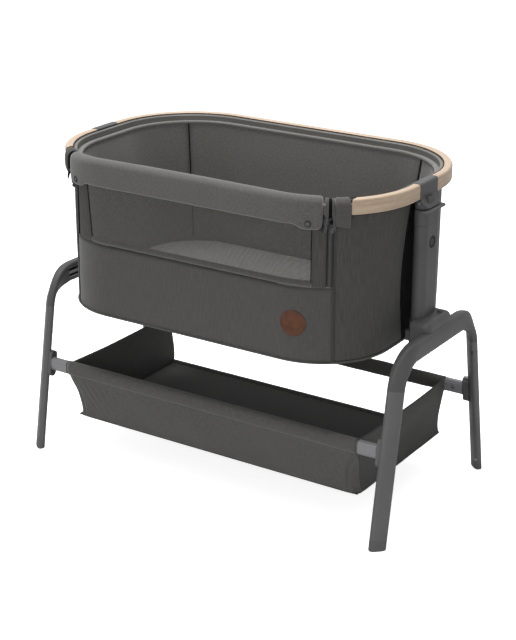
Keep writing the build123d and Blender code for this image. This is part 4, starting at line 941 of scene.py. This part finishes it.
def hang(piece, sign, near, shift, narrow, low, start):
    """Draw a strip's tail, from start down to low, to a narrow end moved sideways."""
    for corner in piece.data.vertices:
        drop = ease((start - corner.co.z) / (start - low))
        middle = sign * near
        corner.co.x = middle + (corner.co.x - middle) * (1 - narrow * drop) + sign * shift * drop


for sign, name in ((1, "right"), (-1, "left")):
    x0, x1 = sorted((sign * SLEEVE_START, sign * SLEEVE_END))
    piece = swept_wrap(f"rim_sleeve_{name}", sleeve_section, x0, x1,
                       cell=0.003, seed=33.0 + sign, wave=0.0005)
    # The left sleeve and strips get darker cloths: painted shade on the side turned from the light.
    sleeve_cloth, strip_cloth = (SHELL_CLOTH, SHELL_CLOTH) if sign > 0 else (SHADED_CLOTH, SHADOW_CLOTH)
    dress(piece, "cradle", sleeve_cloth, ["corner_sleeves"], smooth=1)
    # The throat between the strips is near-black cloth: painted shade in the gap.
    for label, start, end, low, proud, shift, narrow, cloth in (
        ("throat", 0.3182, 0.3262, 0.672, 0.0008, 0.0, -0.8, SHADOW_CLOTH),
        ("strip_inner", 0.3124, 0.3198, 0.654, 0.0034, -0.0022, 0.55, strip_cloth),
        ("strip_outer", 0.3243, 0.3288, 0.658, 0.0032, 0.0045, 0.3, strip_cloth),
    ):
        x0, x1 = sorted((sign * start, sign * end))
        section = strip_section(low, proud)
        piece = swept_wrap(f"rim_{label}_{name}", section, x0, x1,
                           cell=0.0018, seed=35.0 + sign, wave=0.0002)
        hang(piece, sign, (start + end) / 2, shift, narrow, low, WRAP_INNER_LOW)
        dress(piece, "cradle", cloth, smooth=1)

TAPE = 0.0006
LOOP_X, LOOP_WIDTH = 0.2985, 0.0115
LOOP_TOP_Z, LOOP_DROP = 0.6610, 0.0105
TAPE_END_TOP_Z = 0.6835

# Tape sewn behind each end of the opening, and its loose loop under the flap's corner.
for sign, name in ((1, "right"), (-1, "left")):
    ends = [shell_x(sign * x) for x in ((0.3030, 0.3140) if sign > 0 else (0.3140, 0.3030))]
    points = panel_points(lambda t, z, out=0.0: on_shell(t % 10, z, out - 0.0042), *ends,
                          SILL_Z + 0.001, 0.684, cell=0.004, tuck=0.0, wave=0.0002, seed=36.0)
    cloth_panel(f"zip_tape_back_{name}", points, "cradle", BLACK_TAPE,
                thickness=TAPE)
    rows = []
    for i in range(11):
        row = []
        for j in range(13):
            f = j / 12
            z = LOOP_TOP_Z - LOOP_DROP * i / 10 * (0.55 + 0.45 * f) + 0.0009 * sin(9 * f + i)
            out = 0.0010 + 0.0018 * sin(pi * i / 10) + 0.0009 * sin(7 * f + 0.8 * i)
            row.append(on_rim(at_x(RIM, sign * (LOOP_X + LOOP_WIDTH * f)), z, out - 0.0088))
        rows.append(row if sign > 0 else row[::-1])
    cloth_panel(f"zip_tape_loop_{name}", rows[::-1], "drop_side", BLACK_TAPE,
                thickness=TAPE)

# Loose end of the zip's tape, folded away at the top of each zip.
for sign, name, drop in ((1, "right", 0.0), (-1, "left", 0.014)):
    rows = []
    for i in range(13):
        z = TAPE_END_TOP_Z - 0.0022 * i - drop * i / 12
        row = []
        for j in range(9):
            f = j / 8
            x = sign * (0.3128 + 0.0125 * f - 0.0028 * sin(pi * i / 12))
            out = 0.0016 + 0.0012 * sin(2.4 * pi * f + 0.55 * i) + 0.0008 * sin(1.3 * i)
            curl = 0.0016 * sin(2 * pi * f + i)
            row.append(on_rim(at_x(RIM, x), z + curl, out - 0.0075 * ease((0.682 - z) / 0.02)))
        rows.append(row)
    cloth_panel(f"zip_tape_end_{name}", rows[::-1], "cradle", BLACK_TAPE,
                thickness=TAPE)

# Lip of the darker cloth (painted shade) over each zip, and the zip's coil beside it.
COIL_X, COIL_Z, COIL_PITCH = 0.3188, (0.5385, 0.681), 0.0013
LIP_X, LIP_Z = (0.3122, 0.3174), (0.5375, 0.6655)
WELT_X = 0.3222
for sign, name in ((1, "right"), (-1, "left")):
    ends = [shell_x(sign * x) for x in (LIP_X if sign > 0 else LIP_X[::-1])]
    points = panel_points(lambda t, z, out=0.0: on_shell(t % 10, z, out + 0.00165), *ends, *LIP_Z,
                          cell=0.0014, tuck=0.0009, soft=0.0016, sides="lr", wave=0.0001, seed=37.0)
    piece = grid_mesh(f"zip_lip_{name}", points)
    dress(piece, "cradle", SHADED_CLOTH)
    path = [on_shell(at_x(shell_size(z), sign * COIL_X), z, 0.00145) for z in np.linspace(*COIL_Z, 60)]
    _, facing = on_plan(shell_size(0.6), at_x(shell_size(0.6), sign * COIL_X))
    row_of_bars(f"zip_coil_{name}", path, "cradle", BLACK_NYLON, COIL_PITCH,
                length=0.0024, thickness=0.0007, across=(-facing.y, facing.x, 0.0))
    heights = np.linspace(SHELL_BOTTOM_Z + 0.004, 0.6835, 70)
    path = [on_shell(at_x(shell_size(z), sign * WELT_X), z, 0.0004) for z in heights]
    welt(f"shell_welt_{name}", path, 0.0011, "cradle", "shell_cloth", SHADED_CLOTH)

# Cloth that closes the fold under the window, sewn to the shell and to the drop side.
rows = []
for i in range(15):
    z = SILL_Z - 0.012 + 0.024 * i / 14
    rows.append([Vector((x, -shell_size(z)[1] + 0.0040, z)) for x in np.linspace(-0.212, 0.212, 54)])
piece = grid_mesh("sill_gusset", rows)
# The gusset takes the darker cloth: painted shade.
piece.data.materials.append(SHADED_CLOTH)
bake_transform(piece)
flat_size(rows)

# --------------------------------------------------------------------- mattress
pad_low, pad_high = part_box("mattress")
PAD_SLACK = (0.003, 0.006)      # room to lift the mattress out past the lining, at its ends and its sides
PAD_PLAN = (pad_high.x - PAD_SLACK[0], pad_high.y - PAD_SLACK[1], 0.144)
# The edge's bulge outwards at shares of the mattress's height.
PAD_EDGE = [(0.0, 0.02), (0.0, 0.3), (0.0015, 0.5), (0.0015, 0.72), (-0.001, 0.86), (-0.006, 0.95),
            (-0.014, 0.985)]
pad_wall = wall(lambda z: PAD_PLAN)
rows = []
for bulge, share in PAD_EDGE:
    z = pad_low.z + (pad_high.z - pad_low.z) * share
    rows.append([pad_wall(10 * i / 240, z, bulge) for i in range(240)])
edge = rows[-1]
for share in np.linspace(0.95, 0.01, 22):
    crown = pad_high.z - 0.0005 + 0.002 * (1 - share)
    spots = [(p.x * share, p.y * share) for p in edge]
    rows.append([Vector((x, y, crown + ripple((x, y, 0), 0.09, 0.0012, 41))) for x, y in spots])
piece = closed(grid_mesh("mattress_pad", rows, loop=True))
dress(piece, "mattress", PAD_COTTON, ["mattress"])

# ----------------------------------------------------------------------- basket
bag_low, bag_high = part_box("basket_fabric")
RAIL_Y = (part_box("basket_rail_rear")[0].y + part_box("basket_rail_rear")[1].y) / 2
RAIL_Z = (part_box("basket_rail_rear")[0].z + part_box("basket_rail_rear")[1].z) / 2
BAG_FLOOR = bag_low.z
BAG_HALF, BAG_TOP_HALF = 0.368, bag_high.x
BAG_FRONT, BAG_BACK = -0.176, 0.188
SLEEVE_LOW = 0.1825
BAG_CORNER = 0.018             # rounded corners between the front and the ends
BAG_CLOTH = 0.002


def bag_half(g):
    """Half-length of the bag from its floor (0) to its sleeve (1), drawn in a little between."""
    drawn_in = 0.0045 * sin(pi * g ** 0.8)
    return BAG_HALF + (BAG_TOP_HALF - BAG_HALF) * ease(g) - drawn_in + 0.0015 * (1 - ease(g / 0.08))


def bag_front(g):
    """The front leans out from the floor to its rail."""
    return BAG_FRONT + (-RAIL_Y - 0.006 - BAG_FRONT) * g


def bag_corner(g):
    """Radius of the corner pieces, tighter towards the top."""
    return BAG_CORNER * (1 - 0.75 * ease((g - 0.55) / 0.45))


def slack(x, z, g, seed):
    """Folds of slack cloth: broad sags, and slanting creases towards the lower corners."""
    creases = 0.0011 * sin(330 * (x + 0.6 * z)) * ease((abs(x) - 0.22) / 0.12) * sin(pi * g) ** 0.7
    return (ripple((x, 0, z), 0.09, 0.0032, seed) + creases) * sin(pi * g) ** 0.6


def bag_z(g, top):
    return BAG_FLOOR + 0.001 + (top - BAG_FLOOR) * g


def seam_dip(near):
    """Depth of a sewn seam at a distance from it."""
    return 0.0011 * (1 - ease(near / 0.006))


def bag_front_point(f, g):
    """Point of the front piece; f goes from left to right."""
    half = bag_half(g) - bag_corner(g)
    x = -half + 2 * half * f
    z = bag_z(g, SLEEVE_LOW + 0.004)
    near = min(f, 1 - f) * 2 * half
    sag = -0.0035 * sin(pi * f) ** 0.3 * sin(pi * g) + slack(x, z, g, 51) * ease(near / 0.03)
    return Vector((x, bag_front(g) + sag + seam_dip(near), z))


def bag_corner_point(sign, f, g):
    """Point of the corner piece; f goes from the front to the end."""
    radius, turn = bag_corner(g), pi / 2 * f
    reach = radius - seam_dip(min(f, 1 - f) * radius * 1.57)
    x = bag_half(g) - radius + reach * sin(turn)
    y = bag_front(g) + radius - reach * cos(turn)
    z = bag_z(g, SLEEVE_LOW + 0.004)
    return Vector((sign * x, y, z))


def bag_end_point(sign, f, g):
    """Point of an end piece; f goes from the front to the back."""
    z = bag_z(g, bag_high.z - 0.006)
    level = min(1.0, g * 1.25)
    front = bag_front(level) + bag_corner(level)
    front += (-RAIL_Y + 0.002 - front) * ease((g - 0.8) / 0.2)
    back = BAG_BACK + (RAIL_Y - 0.002 - BAG_BACK) * g
    y = front + (back - front) * f
    seam = seam_dip(f * (back - front)) * (1 - ease((g - 0.75) / 0.1))
    x = bag_half(level) - seam - 0.003 * sin(pi * f) * sin(pi * g)
    x += ripple((0, y, z), 0.08, 0.0028, 52 + sign) * sin(pi * f) * (0.3 + 0.7 * sin(pi * g))
    return Vector((sign * x, y, z - 0.005 * sin(pi * f) * g ** 3))


def bag_panel(name, spot, columns, rows, cloth, flip=False):
    """Panel of the bag; flip turns its face outwards on the left side."""
    points = [[spot(j / columns, i / rows) for j in range(columns + 1)] for i in range(rows + 1)]
    if flip:
        points = [row[::-1] for row in points]
    cloth_panel(name, points, "stand", cloth, ["basket_fabric"], BAG_CLOTH)


bag_panel("basket_front", bag_front_point, 140, 24, CANVAS)
for sign, name in ((1, "right"), (-1, "left")):
    bag_panel(f"basket_corner_{name}", lambda f, g, s=sign: bag_corner_point(s, f, g), 10, 20,
              CANVAS, flip=sign < 0)
    # The ends take the darker canvas: painted shade.
    bag_panel(f"basket_end_{name}", lambda f, g, s=sign: bag_end_point(s, f, g), 80, 20,
              SHADED_CANVAS, flip=sign < 0)

# The floor takes the darker canvas: painted shade under the cradle.
points = []
for i in range(41):
    y = BAG_FRONT + (BAG_BACK - BAG_FRONT) * i / 40
    points.append([Vector((x, y, BAG_FLOOR + 0.0024 + ripple((x, y, 0), 0.1, 0.0008, 55)))
                   for x in np.linspace(-BAG_HALF, BAG_HALF, 81)])
cloth_panel("basket_floor", points, "stand", SHADED_CANVAS,
            ["basket_fabric"], BAG_CLOTH)
# The board shows the darker canvas too: painted shade.
frame["nodes"]["basket_board"].data.materials[0] = SHADED_CANVAS

for sign, name in ((-1, "front"), (1, "rear")):
    rows = []
    for x in np.linspace(-BAG_TOP_HALF, BAG_TOP_HALF, 121):
        row = []
        for k in range(28):
            turn = 2 * pi * k / 28
            out = 0.0098 * cos(turn)
            z = RAIL_Z + (0.0170 if sin(turn) > 0 else 0.0172) * np.sign(sin(turn)) * abs(sin(turn)) ** 0.8
            swell = ripple((x, out, z), 0.03, 0.0006, 57 + sign)
            row.append(Vector((x, sign * (RAIL_Y + out + swell), z + swell)))
        rows.append(row if sign > 0 else row[::-1])
    piece = grid_mesh(f"basket_sleeve_{name}", rows, loop=True)
    dress(piece, "stand", CANVAS, ["basket_fabric"], 0.0015)
    width, height = flat_size(rows)

rows = []
for i in range(9):
    g = i / 8
    y, z = BAG_BACK - 0.0015 - 0.002 * sin(pi * g), BAG_FLOOR + 0.002 + 0.011 * g
    rows.append([Vector((x, y + ripple((x, 0, 0), 0.05, 0.0006, 59), z))
                 for x in np.linspace(BAG_HALF - 0.001, -BAG_HALF + 0.001, 120)])
cloth_panel("basket_back_lip", rows, "stand", CANVAS,
            ["basket_fabric"], 0.003)

foot = [bag_end_point(1, f, 0) for f in np.linspace(1, 0, 40)]
foot += [bag_corner_point(1, f, 0) for f in np.linspace(0.9, 0, 8)]
foot += [bag_front_point(f, 0) for f in np.linspace(1, 0, 80)[1:]]
foot += [bag_corner_point(-1, f, 0) for f in np.linspace(0.1, 1, 8)]
foot += [bag_end_point(-1, f, 0) for f in np.linspace(0, 1, 40)[1:]]
welt("basket_piping", foot, 0.0017, "stand", "basket_cloth", CANVAS)
for sign, name in ((1, "right"), (-1, "left")):
    for f, label, outward in ((0, "front", (0, -0.0004, 0)), (1, "end", (sign * 0.0004, 0, 0))):
        seam = [bag_corner_point(sign, f, g) + Vector(outward) for g in np.linspace(0, 1, 24)]
        welt(f"basket_welt_{label}_{name}", seam, 0.0010, "stand", "basket_cloth", CANVAS)

# ---------------------------------------------------------------- leather patch
PATCH_X, PATCH_Z, PATCH_RADIUS, PATCH_THICK = 0.249, 0.457, 0.027, 0.0022


def on_patch(radius, angle, out):
    """Point of the disc laid on the shell."""
    x = PATCH_X + radius * cos(angle)
    z = PATCH_Z + radius * sin(angle)
    return on_shell(at_x(shell_size(z), x), z, out)


# Rings of the disc, from its burnished edge over the stitched groove to its middle, as shares of its
# radius and thickness.
PATCH_RINGS = [(1.0, 0.0), (1.0, 0.5), (0.985, 0.8), (0.95, 0.98), (0.9, 1.0), (0.88, 0.93),
               (0.86, 0.93), (0.84, 1.0), (0.7, 1.0), (0.5, 1.0), (0.3, 1.0), (0.1, 1.0), (0.01, 1.0)]
GROOVE = 0.87
rows = []
for radius, out in PATCH_RINGS:
    rows.append([on_patch(PATCH_RADIUS * radius, 2 * pi * k / 72, PATCH_THICK * out) for k in range(72)])
piece = closed(grid_mesh("leather_disc", rows, loop=True))
dress(piece, "cradle", LEATHER, ["leather_patch"])
ring = [on_patch(PATCH_RADIUS * GROOVE, 2 * pi * k / 96, PATCH_THICK * 0.98) for k in range(96)]
row_of_bars("leather_stitches", ring, "cradle", BROWN_THREAD, pitch=0.0046, length=0.0034,
            thickness=0.0009, loop=True)

# ------------------------------------------------------------ camera and lights
CAMERA_DOWN, CAMERA_TURN = 20.99, 33.28
camera_data = bpy.data.cameras.new("camera")
camera = bpy.data.objects.new("camera", camera_data)
scene.collection.objects.link(camera)
camera_data.sensor_fit = "HORIZONTAL"
camera_data.sensor_width = 36.0
camera_data.lens = 110.03
camera_data.clip_end = 50.0
camera.location = (1.7936, -2.7213, 1.5834)
camera.rotation_euler = (radians(90 - CAMERA_DOWN), 0.0, radians(CAMERA_TURN))
scene.camera = camera


AIM = Vector((0, 0, 0.4))


def softbox(name, place, size, power):
    """Round soft light turned towards the bed."""
    light = bpy.data.lights.new(name, "AREA")
    light.shape = "DISK"
    light.size = size
    light.energy = power
    lamp = bpy.data.objects.new(name, light)
    scene.collection.objects.link(lamp)
    lamp.location = place
    lamp.rotation_euler = (AIM - Vector(place)).to_track_quat("-Z", "Y").to_euler()


softbox("top_light", (-0.3, 0.1, 3.4), 2.4, 120)
softbox("front_light", (1.5, -3.8, 1.7), 1.8, 42)
softbox("left_light", (-3.4, 0.4, 1.8), 1.4, 3)

# Plain even light from the room; the camera and the reflections see a white backdrop instead.
world = bpy.data.worlds.new("studio")
scene.world = world
world.use_nodes = True
tree = world.node_tree
tree.nodes.clear()
ray = add(tree, "ShaderNodeLightPath")
room = add(tree, "ShaderNodeBackground", {"Color": linear("#ffffff"), "Strength": 0.32})
clean = add(tree, "ShaderNodeBackground", {"Color": linear("#ffffff"), "Strength": 1.0})
seen = add(tree, "ShaderNodeMath", {
    0: ray.outputs["Is Camera Ray"], 1: ray.outputs["Is Glossy Ray"]}, operation="MAXIMUM")
view = add(tree, "ShaderNodeMixShader", {0: seen.outputs[0], 1: room.outputs[0], 2: clean.outputs[0]})
add(tree, "ShaderNodeOutputWorld", {"Surface": view.outputs[0]})

floor_mesh = bpy.data.meshes.new("studio_floor")
reach = 12.0
corners = [(x * reach, y * reach, 0) for x, y in ((-1, -1), (1, -1), (1, 1), (-1, 1))]
floor_mesh.from_pydata(corners, [], [(0, 1, 2, 3)])
floor = bpy.data.objects.new("studio_floor", floor_mesh)
scene.collection.objects.link(floor)
# Paper with the bed's shadow on it; only the camera sees its glow, which lights nothing.
paper = bpy.data.materials.new("paper_floor")
paper.use_nodes = True
tree = paper.node_tree
tree.nodes.clear()
ray = add(tree, "ShaderNodeLightPath")
matt = add(tree, "ShaderNodeBsdfDiffuse", {"Color": linear("#f2f2f2")})
glow = add(tree, "ShaderNodeEmission", {"Color": linear("#ffffff"), "Strength": 0.8})
lit = add(tree, "ShaderNodeAddShader", {0: matt.outputs[0], 1: glow.outputs[0]})
view = add(tree, "ShaderNodeMixShader", {
    0: ray.outputs["Is Camera Ray"], 1: matt.outputs[0], 2: lit.outputs[0]})
add(tree, "ShaderNodeOutputMaterial", {"Surface": view.outputs[0]})
floor_mesh.materials.append(paper)

scene.view_settings.view_transform = "Standard"
